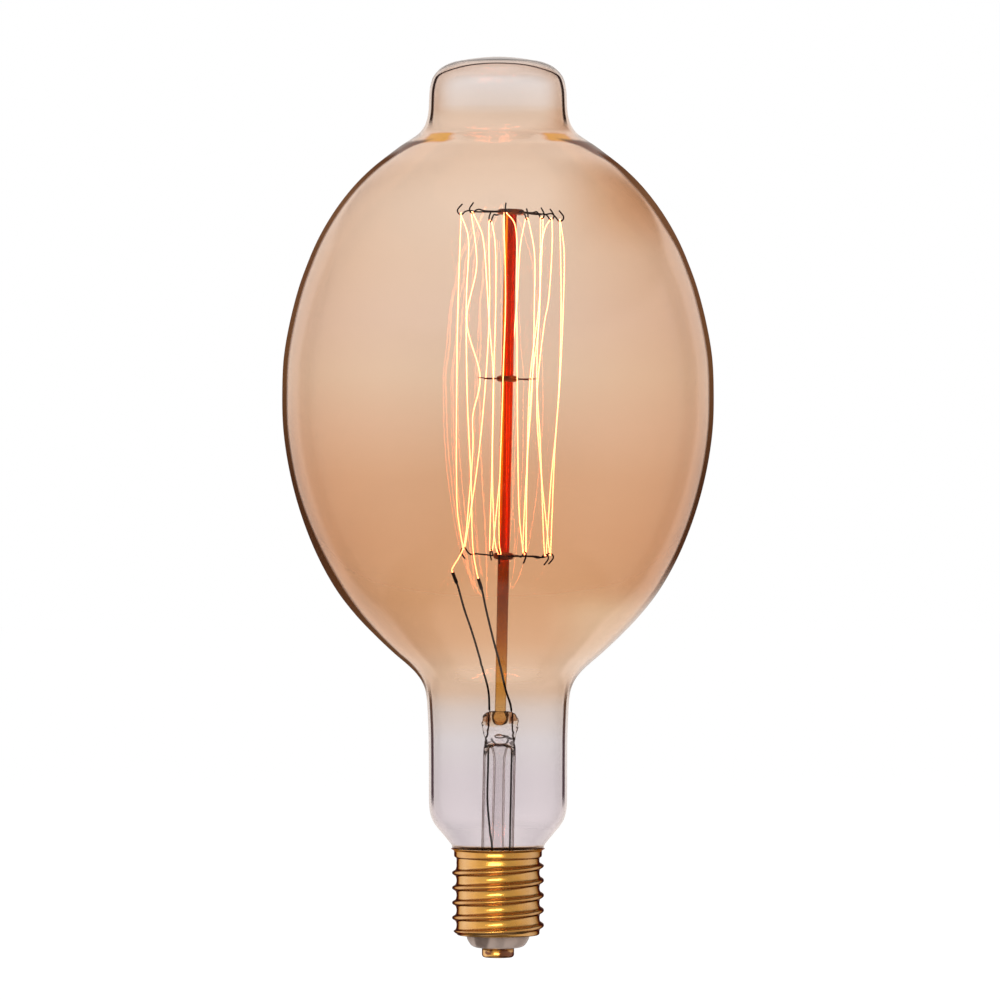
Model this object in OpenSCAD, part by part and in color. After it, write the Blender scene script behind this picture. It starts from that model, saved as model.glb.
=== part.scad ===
// Large decorative filament lamp: a knobbed, blimp-shaped bulb on a 40 mm screw cap.
// Inside, a glass rod carries three rings of fine wires, and one long filament
// zigzags between the hooks. Millimetres, +Z up. The origin is on the lamp's axis
// at the flat bottom of the centre contact, and the photograph looks along +Y.

/* [Bulb] */
// Height of the knob, from the end of the shoulder's hollow to its top
knob_h = 22.9; // [18:0.1:28]
// Diameter of the bulb at its widest
body_d = 183.6; // [172:0.2:190]
// Height of the widest place
belly_z = 240.2; // [236:0.2:245]
// Height of the upper half's ellipse
crown_h = 117; // [112:0.1:120]
// Height of the lower half's ellipse
base_h = 126.8; // [120:0.1:130]
// Diameter of the knob on top
knob_d = 59.2; // [52:0.2:64]
// Radius of the knob's upper edge
knob_edge_r = 12.5; // [8:0.5:14]
// Radius of the shallow dome on the knob
dome_r = 83; // [70:1:110]
// Radius of the hollow where the knob meets the body
shoulder_r = 14; // [8:0.5:18]
// Diameter of the neck at its lower end
neck_d = 58.8; // [54:0.2:62]
// Diameter of the neck at its upper end
neck_top_d = 60; // [54:0.2:62]
// Radius of the hollow where the body meets the neck
neck_hollow_r = 20; // [16:0.5:26]
// Radius of the neck's lower edge
neck_edge_r = 9; // [6:0.5:11]
// Slope of the taper below the neck, from the vertical
taper_angle = 41.5; // [38:0.5:45]
// Diameter of the taper where it stands over the cap's lip
seat_d = 38.8; // [38:0.1:39.4]
// Diameter of the glass tube inside the cap
tube_d = 32.6; // [31.4:0.1:32.8]
// Height of the lower end of that tube
tube_end_z = 28; // [26:0.5:32]
// Thickness of the bulb's wall
glass_wall = 1.2; // [0.9:0.1:1.5]

/* [Cap] */
// Height of the cap's upper lip above the contact
cap_h = 46.3; // [45.5:0.1:48]
// Outside diameter of the thread
thread_d = 39.1; // [39.05:0.05:39.5]
// Diameter at the bottom of the thread
thread_root_d = 35.3; // [35.2:0.05:35.9]
// Rise of the thread in one turn
thread_pitch = 6.35; // [6:0.05:6.6]
// Radius of the thread's crest
crest_r = 0.9; // [0.7:0.05:1.2]
// Radius at each side of the thread's groove
root_r = 1.8; // [1.4:0.05:2]
// Height of one crest on the +X side
first_crest_z = 13.65; // [13:0.05:14.5]
// Diameter of the plain collar above the thread
collar_d = 37.4; // [37.2:0.1:37.8]
// Height of that collar, with its lip
collar_h = 4; // [3:0.1:4.5]
// Diameter of the thin lip
lip_d = 39.9; // [39.4:0.1:40.4]
// Thickness of the cap's sheet brass
shell_wall = 0.4; // [0.3:0.05:0.5]
// Height of the shell's lower edge
shell_foot_z = 9.5; // [9:0.1:10.5]
// Diameter of the glass bowl where it leaves the shell
bowl_d = 27; // [25:0.1:28]
// Height of the glass bowl's underside
bowl_foot_z = 4; // [3.5:0.1:5]
// Diameter of the centre contact
contact_d = 13.7; // [12:0.1:15]
// Diameter of the spot of solder in the contact
solder_d = 3.9; // [3:0.1:5]
// Diameter of the hole that the contact wire runs through
wire_hole_d = 2.4; // [1.6:0.1:3]

/* [Stem] */
// Lean of the whole stem towards +X
stem_lean = 1.2; // [0:0.1:1.3]
// Shift of the stem's foot towards -X
stem_shift = 0.6; // [0:0.1:0.7]
// Diameter of the glass stem tube
stem_d = 13.8; // [13:0.1:15]
// Thickness of its wall
stem_wall = 1.1; // [0.8:0.1:1.2]
// Height of the pinch's lower end
pinch_z = 90.8; // [86:0.2:94]
// Height of the pinch
pinch_h = 13.7; // [12:0.1:16]
// Width of the pinch
pinch_w = 15.6; // [15:0.1:17]
// Thickness of the pinch
pinch_t = 7.2; // [6.8:0.1:8]
// Diameter of the exhaust tube
exhaust_d = 5.2; // [4.4:0.1:5.6]
// Thickness of the exhaust tube's wall
exhaust_wall = 0.8; // [0.6:0.1:1]
// Diameter of its funnel under the pinch
funnel_d = 7.4; // [6.4:0.1:7.8]
// Height of its sealed tip
exhaust_tip_z = 21; // [20:0.5:24]

/* [Rod] */
// Diameter of the rod at its top
rod_top_d = 5.2; // [4.8:0.1:5.6]
// Diameter of the rod at its foot
rod_foot_d = 4.8; // [4.4:0.1:5]
// Depth of the rod's foot in the pinch
rod_depth = 5; // [4:0.1:6]
// Height of the top button's underside
button_z = 315.5; // [308:0.5:322]
// Diameter of the top button
button_d = 11.7; // [9:0.1:13]
// Thickness of the top button
button_h = 2.5; // [2:0.1:3]
// Height of the middle collar's centre
middle_z = 245.9; // [240:0.5:252]
// Diameter of the middle collar
middle_d = 9.3; // [8.4:0.1:11]
// Thickness of the middle collar
middle_h = 2.7; // [2:0.1:3]
// Height of the lower collar's centre
lower_z = 170.5; // [168:0.5:176]
// Diameter of the lower collar
lower_d = 9; // [8.4:0.1:11]
// Thickness of the lower collar
lower_h = 3.1; // [2.4:0.1:3.4]

/* [Hooks and filament] */
// Distance of the top hooks' bends from the rod's axis
top_reach = 21.3; // [19:0.1:23]
// Distance of the lower hooks' bends from the rod's axis
lower_reach = 20.8; // [19:0.1:22]
// Distance at which the middle wires hold the filament
middle_reach = 15; // [13:0.1:16]
// Thickness of the hook wires
hook_d = 0.7; // [0.5:0.05:0.8]
// Thickness of the middle wires
middle_wire_d = 0.45; // [0.3:0.05:0.6]
// Radius of a hook's bend
curl_r = 1.5; // [1.4:0.1:1.8]
// Rise of the hump before the bend
hump = 0.9; // [0.5:0.1:1.2]
// Thickness of the filament
filament_d = 0.5; // [0.35:0.05:0.55]

/* [Wires] */
// Thickness of the two inner leads
inner_lead_d = 0.8; // [0.6:0.05:1]
// Thickness of the two outer leads
outer_lead_d = 0.75; // [0.5:0.05:0.8]
// Thickness of the seal wires in the pinch
seal_wire_d = 0.6; // [0.4:0.05:0.7]
// Distance of the left seal wire from the stem's axis
left_wire_x = 4.7; // [4.6:0.1:4.8]
// Distance of the right seal wire from the stem's axis
right_wire_x = 5.1; // [4.8:0.1:5.2]
// Thickness of the crimped sleeves that hold the filament's ends
sleeve_d = 1.5; // [1.4:0.05:1.8]
// Length of those sleeves
sleeve_l = 5; // [4:0.1:6]
// Thickness of the wire that runs over the cap's lip
side_wire_d = 0.3; // [0.2:0.02:0.32]
// Thickness of the wire that ends in the contact's solder
contact_wire_d = 0.4; // [0.3:0.02:0.5]

/* [Clearances] */
// Play around a wire or a rod in its hole
slip = 0.05; // [0.03:0.01:0.1]
// Gap between two pieces that meet end to end
end_gap = 0.1; // [0.05:0.01:0.2]
// Gap between the filament and a hook
wrap_gap = 0.15; // [0.1:0.01:0.2]
// Gap between the tube's end and the flare's rim
flare_gap = 0.4; // [0.38:0.01:0.6]
// Gap between the taper's seat and the cap's lip
seat_gap = 0.35; // [0.33:0.01:0.5]
// Gap between the glass bowl and the hole in the shell
bowl_gap = 0.1; // [0.05:0.01:0.2]
// Gap around the cement
cement_gap = 0.08; // [0.05:0.01:0.1]

/* [Hidden] */
top_count = 8;
lower_count = 7;
middle_count = 4;

// Each top hook: its bearing from the viewer's side towards +X, and how far its bend hangs down
top_hooks = [[310, 1.5], [354, 1.8], [38, 3.3], [80, 3.6], [126, 2.2], [161, 1.9], [204, 3.3], [265, 1.3]];
// Each lower hook: its bearing, and how far its bend stands up
lower_hooks = [[355, 1.4], [25, 2.1], [58, 1.2], [108, 1.4], [155, 1.3], [195, 2.5], [235, 3]];
// Each middle wire's bearing
middle_bearings = [309, 51, 145, 218];
// The strands in turn, from the left sleeve over the hooks to the right one: the middle
// wire that holds the strand, or 0, and its shift in X at a quarter, a half and three
// quarters of its height from the top
strands = [
    [1, [0, 0, 2.5]], [0, [2.4, 2.5, 0]], [0, [0, 0, 0]], [0, [1.6, 0.6, -0.2]],
    [0, [0.4, -0.7, -0.8]], [2, [-1, 0, 0]], [0, [1.7, 2.8, 1.9]], [0, [1.9, 1.7, 1.1]],
    [0, [-0.6, -3.8, -3]], [3, [-0.6, 0, 0.8]], [0, [2.9, 2, 0.4]], [0, [0, 0, 0.8]],
    [0, [1.5, 1.2, 1.3]], [4, [1, 0, 0.8]], [0, [-1.6, -2.2, -2.3]], [0, [-0.5, -1.6, -1.4]]
];
// Where the two sleeves' mouths lie, and the way they point, from the rod's axis
left_mouth = [-21.5, -4, 163.2];
right_mouth = [-10.5, -17.2, 161];
left_aim = [-1.9, -0.3, 4.7];
right_aim = [-1.3, -1, 3.9];
// The bends of the inner leads between the pinch and the sleeves, from the rod's axis
left_bends = [[-5.1, -0.2, 112], [-6.1, -0.5, 117], [-8.3, -1.1, 124], [-12.1, -2.2, 136.3], [-16.2, -3.1, 147.6]];
right_bends = [[4.2, -0.9, 107.5], [2.2, -3.6, 113.5], [-0.5, -6.9, 124.4], [-3.6, -10.3, 135.2], [-7, -13.8, 148.2]];

body_r = body_d / 2;
knob_r = knob_d / 2;
neck_r = neck_d / 2;
neck_high_r = neck_top_d / 2;
seat_r = seat_d / 2;
tube_r = tube_d / 2;
thread_r = thread_d / 2;
thread_root_r = thread_root_d / 2;
collar_r = collar_d / 2;
lip_r = lip_d / 2;
stem_r = stem_d / 2;
stem_bore_r = stem_r - stem_wall;
contact_r = contact_d / 2;
bowl_r = bowl_d / 2;
filament_r = filament_d / 2;
wrap_r = hook_d / 2 + filament_r + wrap_gap;
flare_z = tube_end_z - flare_gap;
seat_z = cap_h + seat_gap;
rod_foot_z = pinch_z + pinch_h - rod_depth;
collar_foot_z = cap_h - collar_h;

// The knob's edge sits inside its dome, and each hollow touches the body's ellipse
crown_t = touch_t(body_r, crown_h, shoulder_r, knob_r);
base_t = touch_t(body_r, base_h, neck_hollow_r, neck_high_r);
crown_n = ellipse_normal(body_r, crown_h, crown_t);
base_n = ellipse_normal(body_r, base_h, base_t);
shoulder_z = belly_z + crown_h * sin(crown_t) + shoulder_r * crown_n[1];
dome_z = shoulder_z + knob_h - dome_r;
edge_z = dome_z + sqrt(pow(dome_r - knob_edge_r, 2) - pow(knob_r - knob_edge_r, 2));
edge_angle = atan2(edge_z - dome_z, knob_r - knob_edge_r);
hollow_z = belly_z - base_h * sin(base_t) - neck_hollow_r * base_n[1];

// The taper runs from the neck's edge to its seat over the lip, then steps in to the tube
step_slope = 20;
step_r = 1.2;
taper_top_r = neck_r - neck_edge_r * (1 - cos(taper_angle));
neck_edge_z = seat_z + (taper_top_r - seat_r) / tan(taper_angle) + neck_edge_r * sin(taper_angle);
step_start_r = tube_r + step_r * (1 - sin(step_slope));
step_z = seat_z - (seat_r - step_start_r) * tan(step_slope) - step_r * cos(step_slope);

function arc(centre, r, from, to, steps) =
    [for (i = [0:steps]) let (a = from + (to - from) * i / steps) centre + r * [cos(a), sin(a)]];

function ellipse_normal(a, b, t) =
    let (n = [b * cos(t), a * sin(t)]) n / norm(n);

// The place on the ellipse where a hollow of radius r also touches a cylinder of radius edge
function touch_t(a, b, r, edge, low = 0, high = 90, turns = 30) =
    let (t = (low + high) / 2, reach = a * cos(t) + r * ellipse_normal(a, b, t)[0] - r)
    turns == 0 ? t
    : reach > edge ? touch_t(a, b, r, edge, t, high, turns - 1)
    : touch_t(a, b, r, edge, low, t, turns - 1);

// Points of one half of the body, at the depth w inside its outer face
function half_body(b, side, from, to, steps, w) =
    [for (i = [0:steps])
        let (t = from + (to - from) * i / steps, n = ellipse_normal(body_r, b, t))
        [body_r * cos(t) - w * n[0], belly_z + side * (b * sin(t) - w * n[1])]];

// The bulb's outline from the top of the knob to the tube's end, at the depth w
function bulb_outline(w) = concat(
    arc([0, dome_z], dome_r - w, 90, edge_angle, 6),
    arc([knob_r - knob_edge_r, edge_z], knob_edge_r - w, edge_angle - 8, 0, 6),
    arc([knob_r + shoulder_r, shoulder_z], shoulder_r + w, 180, 180 + atan2(crown_n[1], crown_n[0]), 8),
    half_body(crown_h, 1, crown_t - 3, 0, 20, w),
    half_body(base_h, -1, 4, base_t - 3, 20, w),
    arc([neck_high_r + neck_hollow_r, hollow_z], neck_hollow_r + w, 180 - atan2(base_n[1], base_n[0]), 180, 9),
    arc([neck_r - neck_edge_r, neck_edge_z], neck_edge_r - w, 0, -taper_angle, 5),
    [seat_corner(w)],
    arc([tube_r + step_r, step_z], step_r + w, 90 + step_slope, 180, 4),
    [[tube_r - w, tube_end_z]]
);

// Where the taper meets its step, moved in by w along both faces
function seat_corner(w) =
    let (
        taper_n = [cos(taper_angle), -sin(taper_angle)],
        step_n = [sin(step_slope), -cos(step_slope)]
    )
    [seat_r, seat_z] - w * (taper_n + step_n) / (1 + taper_n * step_n);

function backwards(list) = [for (i = [len(list) - 1:-1:0]) list[i]];

function unit(v) = v / norm(v);

// A point given from the stem's own upright axis, where the leaning stem puts it
function stem_point(p) = [
    p[0] * cos(stem_lean) + (p[2] - flare_z) * sin(stem_lean) - stem_shift,
    p[1],
    flare_z - p[0] * sin(stem_lean) + (p[2] - flare_z) * cos(stem_lean)
];

// The direction of a bearing, outwards and along the ring
function outwards(bearing) = [sin(bearing), -cos(bearing), 0];
function along(bearing) = [cos(bearing), sin(bearing), 0];

function rod_radius(z) =
    let (share = (z - rod_foot_z) / (button_z - rod_foot_z))
    (rod_foot_d + (rod_top_d - rod_foot_d) * share) / 2;

module on_stem() {
    translate([-stem_shift, 0, flare_z])
        rotate([0, stem_lean, 0])
            translate([0, 0, -flare_z])
                children();
}

// A round wire of radius r along a path, with a ring of corners at each point
module wire(path, r, sides = 6) {
    last = len(path) - 1;
    ways = [for (i = [0:last]) unit(path[min(i + 1, last)] - path[max(i - 1, 0)])];
    start = abs(ways[0][2]) > 0.9 ? [1, 0, 0] : [0, 0, 1];
    first_side = unit(cross(ways[0], start));
    // Each ring keeps the last one's side, turned as little as the path allows
    side_ways = [
        for (i = 0, v = first_side; i <= last; i = i + 1, v = i > last ? v : unit(v - (v * ways[i]) * ways[i])) v
    ];
    points = [
        for (i = [0:last])
            let (v = side_ways[i], u = cross(ways[i], v))
            for (k = [0:sides - 1]) path[i] + r * (cos(360 * k / sides) * v + sin(360 * k / sides) * u)
    ];
    walls = [
        for (i = [0:last - 1], k = [0:sides - 1])
            let (a = i * sides + k, b = i * sides + (k + 1) % sides)
            each [[a, a + sides, b], [b, a + sides, b + sides]]
    ];
    ends = [[for (k = [0:sides - 1]) k], [for (k = [sides - 1:-1:0]) last * sides + k]];
    polyhedron(points, concat(walls, ends));
}

module bar(from, to, r) {
    way = to - from;
    translate(from)
        rotate([0, acos(way[2] / norm(way)), atan2(way[1], way[0])])
            cylinder(h = norm(way), r = r, $fn = 32);
}

module bulb_glass() {
    color([0.93, 0.72, 0.5, 0.35])
        rotate_extrude($fn = 120)
            polygon(concat(bulb_outline(0), backwards(bulb_outline(glass_wall))));
}

// Radius of the thread at a bearing and a height, at the depth w inside the outer face
function thread_radius(angle, z, w) =
    let (
        turns = (z - first_crest_z) / thread_pitch - angle / 360,
        d = abs(turns - round(turns)) * thread_pitch,
        both = crest_r + root_r,
        apart = sqrt(both * both - pow(both - thread_r + thread_root_r, 2))
    )
    d < apart * (crest_r - w) / both ? thread_r - crest_r + sqrt(pow(crest_r - w, 2) - d * d)
    : d < apart ? thread_root_r + root_r - sqrt(pow(root_r + w, 2) - pow(apart - d, 2))
    : thread_root_r - w;

shell_sides = 36;
foot_edge = 0.8;
collar_step = 0.6;
thread_low_z = shell_foot_z + foot_edge;
thread_high_z = collar_foot_z - collar_step;
run_in = 1.6;
run_out = 1.5;
row_gap = 0.64;
thread_rows = floor((thread_high_z - thread_low_z) / row_gap);

function faded(z) =
    max(0, min(1, (z - shell_foot_z - foot_edge / 2) / run_in, (thread_high_z - z) / run_out));

// One ring of the shell is a radius, a height, a share of the thread and a depth
function thread_rings(w) = [
    for (i = [0:thread_rows])
        let (z = thread_low_z + (thread_high_z - thread_low_z) * i / thread_rows)
        [thread_root_r - w, z, faded(z), w]
];

flare_out = 0.9;
lip_edge = 0.35;
outer_rings = concat(
    [[bowl_r + bowl_gap, shell_foot_z, 0, 0], [thread_root_r - foot_edge, shell_foot_z, 0, 0]],
    [[thread_root_r - foot_edge * 0.25, shell_foot_z + foot_edge * 0.3, 0, 0]],
    thread_rings(0),
    [[collar_r, collar_foot_z, 0, 0], [collar_r, cap_h - flare_out, 0, 0]],
    [[lip_r - lip_edge * 0.7, cap_h - lip_edge, 0, 0], [lip_r, cap_h - lip_edge * 0.6, 0, 0]],
    [[lip_r - lip_edge * 0.3, cap_h, 0, 0]]
);
inner_rings = concat(
    [[lip_r - lip_edge * 0.3 - shell_wall, cap_h, 0, 0]],
    [[collar_r - shell_wall, cap_h - flare_out - lip_edge * 0.6, 0, 0]],
    [[collar_r - shell_wall, collar_foot_z + shell_wall, 0, 0]],
    backwards(thread_rings(shell_wall)),
    [[thread_root_r - shell_wall - foot_edge * 0.6, shell_foot_z + shell_wall, 0, 0]],
    [[bowl_r + bowl_gap, shell_foot_z + shell_wall, 0, 0]]
);

// The shell is one closed band of rings: up the outside, over the lip and down the inside
module cap_shell() {
    around = shell_sides;
    rings = concat(outer_rings, inner_rings);
    count = len(rings);
    points = [
        for (ring = rings, k = [0:around - 1])
            let (
                angle = 360 * k / around,
                r = ring[0] + ring[2] * (thread_radius(angle, ring[1], ring[3]) - ring[0])
            )
            [r * cos(angle), r * sin(angle), ring[1]]
    ];
    faces = [
        for (i = [0:count - 1], k = [0:around - 1])
            let (
                a = i * around + k,
                b = i * around + (k + 1) % around,
                c = ((i + 1) % count) * around + k,
                d = ((i + 1) % count) * around + (k + 1) % around
            )
            each [[a, c, b], [b, c, d]]
    ];
    color([0.8, 0.58, 0.22])
        polyhedron(points, faces);
}

bowl_top_z = shell_foot_z + shell_wall + end_gap / 2;
insulator_flange_r = thread_root_r - shell_wall - foot_edge - slip;
insulator_flange_h = 2.4;
insulator_cone_h = 2;
insulator_top_z = bowl_top_z + insulator_flange_h + insulator_cone_h;
bowl_step = 0.2;
bowl_brim = 0.35;

module cap_insulator() {
    round_w = bowl_r - contact_r - bowl_step;
    round_h = bowl_top_z - bowl_foot_z - bowl_brim;
    bowl = [for (a = [0:9:90]) [bowl_r - round_w * (1 - sin(a)), bowl_foot_z + round_h * (1 - cos(a))]];
    color([0.62, 0.55, 0.52, 0.8])
        rotate_extrude($fn = 96)
            polygon(concat(
                [[wire_hole_d / 2, bowl_foot_z]],
                bowl,
                [[bowl_r, bowl_top_z], [insulator_flange_r, bowl_top_z]],
                [[insulator_flange_r, bowl_top_z + insulator_flange_h], [contact_r, insulator_top_z]],
                [[wire_hole_d / 2, insulator_top_z]]
            ));
}

contact_edge_r = 1.5;
solder_depth = 0.8;

module centre_contact() {
    color([0.8, 0.56, 0.2])
        difference() {
            rotate_extrude($fn = 64)
                polygon(concat(
                    [[0, 0]],
                    arc([contact_r - contact_edge_r, contact_edge_r], contact_edge_r, -90, 0, 6),
                    [[contact_r, bowl_foot_z], [0, bowl_foot_z]]
                ));
            translate([0, 0, -1])
                cylinder(h = 1 + solder_depth, d = solder_d, $fn = 48);
            cylinder(h = bowl_foot_z + 1, d = wire_hole_d, $fn = 48);
        }
}

contact_wire_r = contact_wire_d / 2;

module contact_solder() {
    color([0.72, 0.7, 0.66])
        difference() {
            cylinder(h = solder_depth - slip, d = solder_d - 2 * slip, $fn = 48);
            translate([0, 0, solder_depth / 2])
                cylinder(h = solder_depth, r = contact_wire_r + slip, $fn = 32);
        }
}

flare_bend_r = tube_r - glass_wall - stem_r - end_gap;

module stem_flare() {
    bend_z = flare_z + flare_bend_r;
    color([0.85, 0.8, 0.82, 0.5])
        on_stem()
            rotate_extrude($fn = 96)
                polygon(concat(
                    [[tube_r, flare_z]],
                    arc([stem_r + flare_bend_r, bend_z], flare_bend_r, -90, -180, 8),
                    [[stem_r, pinch_z], [stem_bore_r, pinch_z]],
                    arc([stem_r + flare_bend_r, bend_z], flare_bend_r + stem_wall, -180, -90, 8),
                    [[tube_r, flare_z - stem_wall]]
                ));
}

// The pinch is round at its foot like the stem, flat in its middle and domed on top:
// height, half width and half thickness, each as a share of its own size
pinch_rings = [
    [0, stem_d / pinch_w, stem_d / pinch_t], [0.08, 0.9, 1.7], [0.18, 0.92, 1.35], [0.32, 0.98, 1.08],
    [0.48, 1, 1], [0.76, 1, 1], [0.87, 0.93, 0.98], [0.95, 0.76, 0.93], [1, 0.5, 0.86]
];

module pinch_blank() {
    around = 32;
    last = len(pinch_rings) - 1;
    points = [
        for (ring = pinch_rings, k = [0:around - 1])
            [
                ring[1] * pinch_w / 2 * cos(360 * k / around),
                ring[2] * pinch_t / 2 * sin(360 * k / around),
                pinch_z + ring[0] * pinch_h
            ]
    ];
    walls = [
        for (i = [0:last - 1], k = [0:around - 1])
            let (a = i * around + k, b = i * around + (k + 1) % around)
            each [[a, a + around, b], [b, a + around, b + around]]
    ];
    ends = [[for (k = [0:around - 1]) k], [for (k = [around - 1:-1:0]) last * around + k]];
    polyhedron(points, concat(walls, ends));
}

// The seal wires lean a little towards the rod on their way up
wire_lean = 0.4;
seal_top_z = pinch_z + pinch_h + end_gap;
left_seal_foot = [-left_wire_x - wire_lean / 2, 0, pinch_z];
left_seal_top = [-left_wire_x + wire_lean / 2, 0, seal_top_z];
right_seal_foot = [right_wire_x, 0, pinch_z];
right_seal_top = [right_wire_x - wire_lean, 0, seal_top_z];

module seal_hole(foot, top) {
    beyond = (top - foot) * 0.1;
    bar(foot - beyond, top + beyond, seal_wire_d / 2 + slip);
}

module pinch_seal() {
    color([0.84, 0.78, 0.76, 0.5])
        on_stem()
            difference() {
                pinch_blank();
                seal_hole(left_seal_foot, left_seal_top);
                seal_hole(right_seal_foot, right_seal_top);
                translate([0, 0, rod_foot_z - end_gap])
                    cylinder(h = rod_depth + 1, r = rod_foot_d / 2 + 2 * slip, $fn = 48);
            }
}

module left_seal_wire() {
    color([0.45, 0.24, 0.16])
        on_stem()
            bar(left_seal_foot, left_seal_top, seal_wire_d / 2);
}

module right_seal_wire() {
    color([0.45, 0.24, 0.16])
        on_stem()
            bar(right_seal_foot, right_seal_top, seal_wire_d / 2);
}

module exhaust_tube() {
    outer_r = exhaust_d / 2;
    funnel_h = 3.2;
    tip_h = 4;
    throat_z = pinch_z - 3 * end_gap - funnel_h / 2;
    top_z = throat_z + funnel_h / 2;
    color([0.86, 0.84, 0.85, 0.5])
        on_stem()
            rotate_extrude($fn = 64)
                polygon(concat(
                    [[0, exhaust_tip_z]],
                    [[outer_r * 0.45, exhaust_tip_z + tip_h * 0.15], [outer_r * 0.85, exhaust_tip_z + tip_h * 0.5]],
                    [[outer_r, exhaust_tip_z + tip_h], [outer_r, top_z - funnel_h]],
                    [[outer_r * 1.08, throat_z], [funnel_d / 2, top_z]],
                    [[funnel_d / 2 - exhaust_wall, top_z]],
                    [[outer_r * 1.08 - exhaust_wall, throat_z - exhaust_wall * 0.4]],
                    [[outer_r - exhaust_wall, top_z - funnel_h - exhaust_wall * 0.4]],
                    [[outer_r - exhaust_wall, exhaust_tip_z + tip_h * 1.1], [0, exhaust_tip_z + tip_h * 0.6]]
                ));
}

module centre_rod() {
    color([0.75, 0.25, 0.1, 0.8])
        on_stem()
            translate([0, 0, rod_foot_z])
                cylinder(h = button_z - rod_foot_z, d1 = rod_foot_d, d2 = rod_top_d, $fn = 64);
}

// A glass disc with a round rim, about the rod's axis
module disc(z, d, h, bore_r) {
    translate([0, 0, z])
        rotate_extrude($fn = 64)
            polygon(concat(
                [[bore_r, -h / 2]],
                arc([d / 2 - h / 2, 0], h / 2, -90, 90, 8),
                [[bore_r, h / 2]]
            ));
}

module top_button() {
    color([0.4, 0.16, 0.08])
        on_stem()
            disc(button_z + button_h / 2, button_d, button_h, 0);
}

module middle_collar() {
    color([0.5, 0.15, 0.08])
        on_stem()
            disc(middle_z, middle_d, middle_h, rod_radius(middle_z + middle_h / 2) + slip);
}

module lower_collar() {
    color([0.5, 0.18, 0.08])
        on_stem()
            disc(lower_z, lower_d, lower_h, rod_radius(lower_z + lower_h / 2) + slip);
}

// A hook in its own upright plane: out from the disc, over a hump and round its bend.
// Each point is a distance from the rod's axis and a height above the disc's middle.
function hook_line(start, reach, drop) = concat(
    [[start, 0], [reach - 4.2 * curl_r, hump / 3 - drop * 0.3], [reach - 2.4 * curl_r, hump - drop * 0.4]],
    arc([reach, curl_r - drop], curl_r, 200, 400, 8),
    [[reach - 0.4 * curl_r, 3 * curl_r - drop]]
);

function hook_path(bearing, z, line, side) =
    [for (p = line) p[0] * outwards(bearing) + [0, 0, z + side * p[1]]];

module top_hook(i) {
    hook = top_hooks[i];
    color([0.16, 0.12, 0.11])
        on_stem()
            wire(hook_path(
                hook[0],
                button_z + button_h / 2,
                hook_line(button_d / 2 + end_gap, top_reach, hook[1]),
                1
            ), hook_d / 2);
}

module lower_hook(i) {
    hook = lower_hooks[i];
    color([0.16, 0.12, 0.11])
        on_stem()
            wire(hook_path(
                hook[0],
                lower_z,
                hook_line(lower_d / 2 + end_gap, lower_reach, hook[1]),
                -1
            ), hook_d / 2);
}

// A middle wire runs straight out and curls round its strand in a level plane
module middle_wire(i) {
    bearing = middle_bearings[i];
    clear = middle_wire_d / 2 + filament_r + wrap_gap;
    line = concat(
        [[middle_d / 2 + end_gap, 0], [middle_reach - 2.5, 0], [middle_reach - 1, clear]],
        arc([middle_reach, 0], clear, 90, -30, 4)
    );
    color([0.3, 0.14, 0.1])
        on_stem()
            wire([for (p = line) p[0] * outwards(bearing) + p[1] * along(bearing) + [0, 0, middle_z]],
                middle_wire_d / 2);
}

// Where the filament turns on each hook
function top_turn(i) =
    top_reach * outwards(top_hooks[i][0]) + [0, 0, button_z + button_h / 2 - top_hooks[i][1]];
function lower_turn(i) =
    lower_reach * outwards(lower_hooks[i][0]) + [0, 0, lower_z + lower_hooks[i][1]];

// Half a turn round a hook's wire, over it on the top hooks and under it on the lower ones
function half_turn(place, bearing, side) =
    [for (a = [-90:36:90]) place + wrap_r * (sin(a) * along(bearing) + [0, 0, side * cos(a)])];

function middle_point(number) =
    middle_reach * outwards(middle_bearings[number - 1]) + [0, 0, middle_z];

// The inner points of one strand between its upper and its lower end
function strand_points(strand, upper, lower) =
    let (
        held = strand[0] > 0,
        shifts = strand[1],
        centre = held ? middle_point(strand[0]) : (upper + lower) / 2 + [shifts[1], 0, 0]
    )
    [for (share = [0.04, 0.13, 0.25, 0.38, 0.5, 0.62, 0.75, 0.87, 0.96])
        let (
            half = share < 0.5 ? share * 2 : share * 2 - 1,
            base = share < 0.5 ? upper + (centre - upper) * half : centre + (lower - centre) * half,
            bow = lookup(share, [[0, 0], [0.25, bow_at(shifts, held, 0)], [0.5, 0], [0.75, bow_at(shifts, held, 2)], [1, 0]])
        )
        base + [bow, 0, 0]];

// The straight halves already carry half of the middle's shift, unless a wire holds the middle
function bow_at(shifts, held, n) = held ? shifts[n] : shifts[n] - shifts[1] / 2;

left_way = unit(left_aim);
right_way = unit(right_aim);

function side_of(place, bearing, side) = place + side * wrap_r * along(bearing);

// Every strand's upper and lower end, in turn
strand_ends = concat(
    [[side_of(top_turn(0), top_hooks[0][0], -1), left_mouth + left_way]],
    [for (i = [0:lower_count - 1]) each [
        [side_of(top_turn(i), top_hooks[i][0], 1), side_of(lower_turn(i), lower_hooks[i][0], -1)],
        [side_of(top_turn(i + 1), top_hooks[i + 1][0], -1), side_of(lower_turn(i), lower_hooks[i][0], 1)]
    ]],
    [[side_of(top_turn(top_count - 1), top_hooks[top_count - 1][0], 1), right_mouth + right_way]]
);

// Strand 0 runs up, strand 1 down and so on, with a half turn between each two
function strand_path(n) =
    let (down = strand_points(strands[n], strand_ends[n][0], strand_ends[n][1]))
    n % 2 == 0 ? backwards(down) : down;

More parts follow.
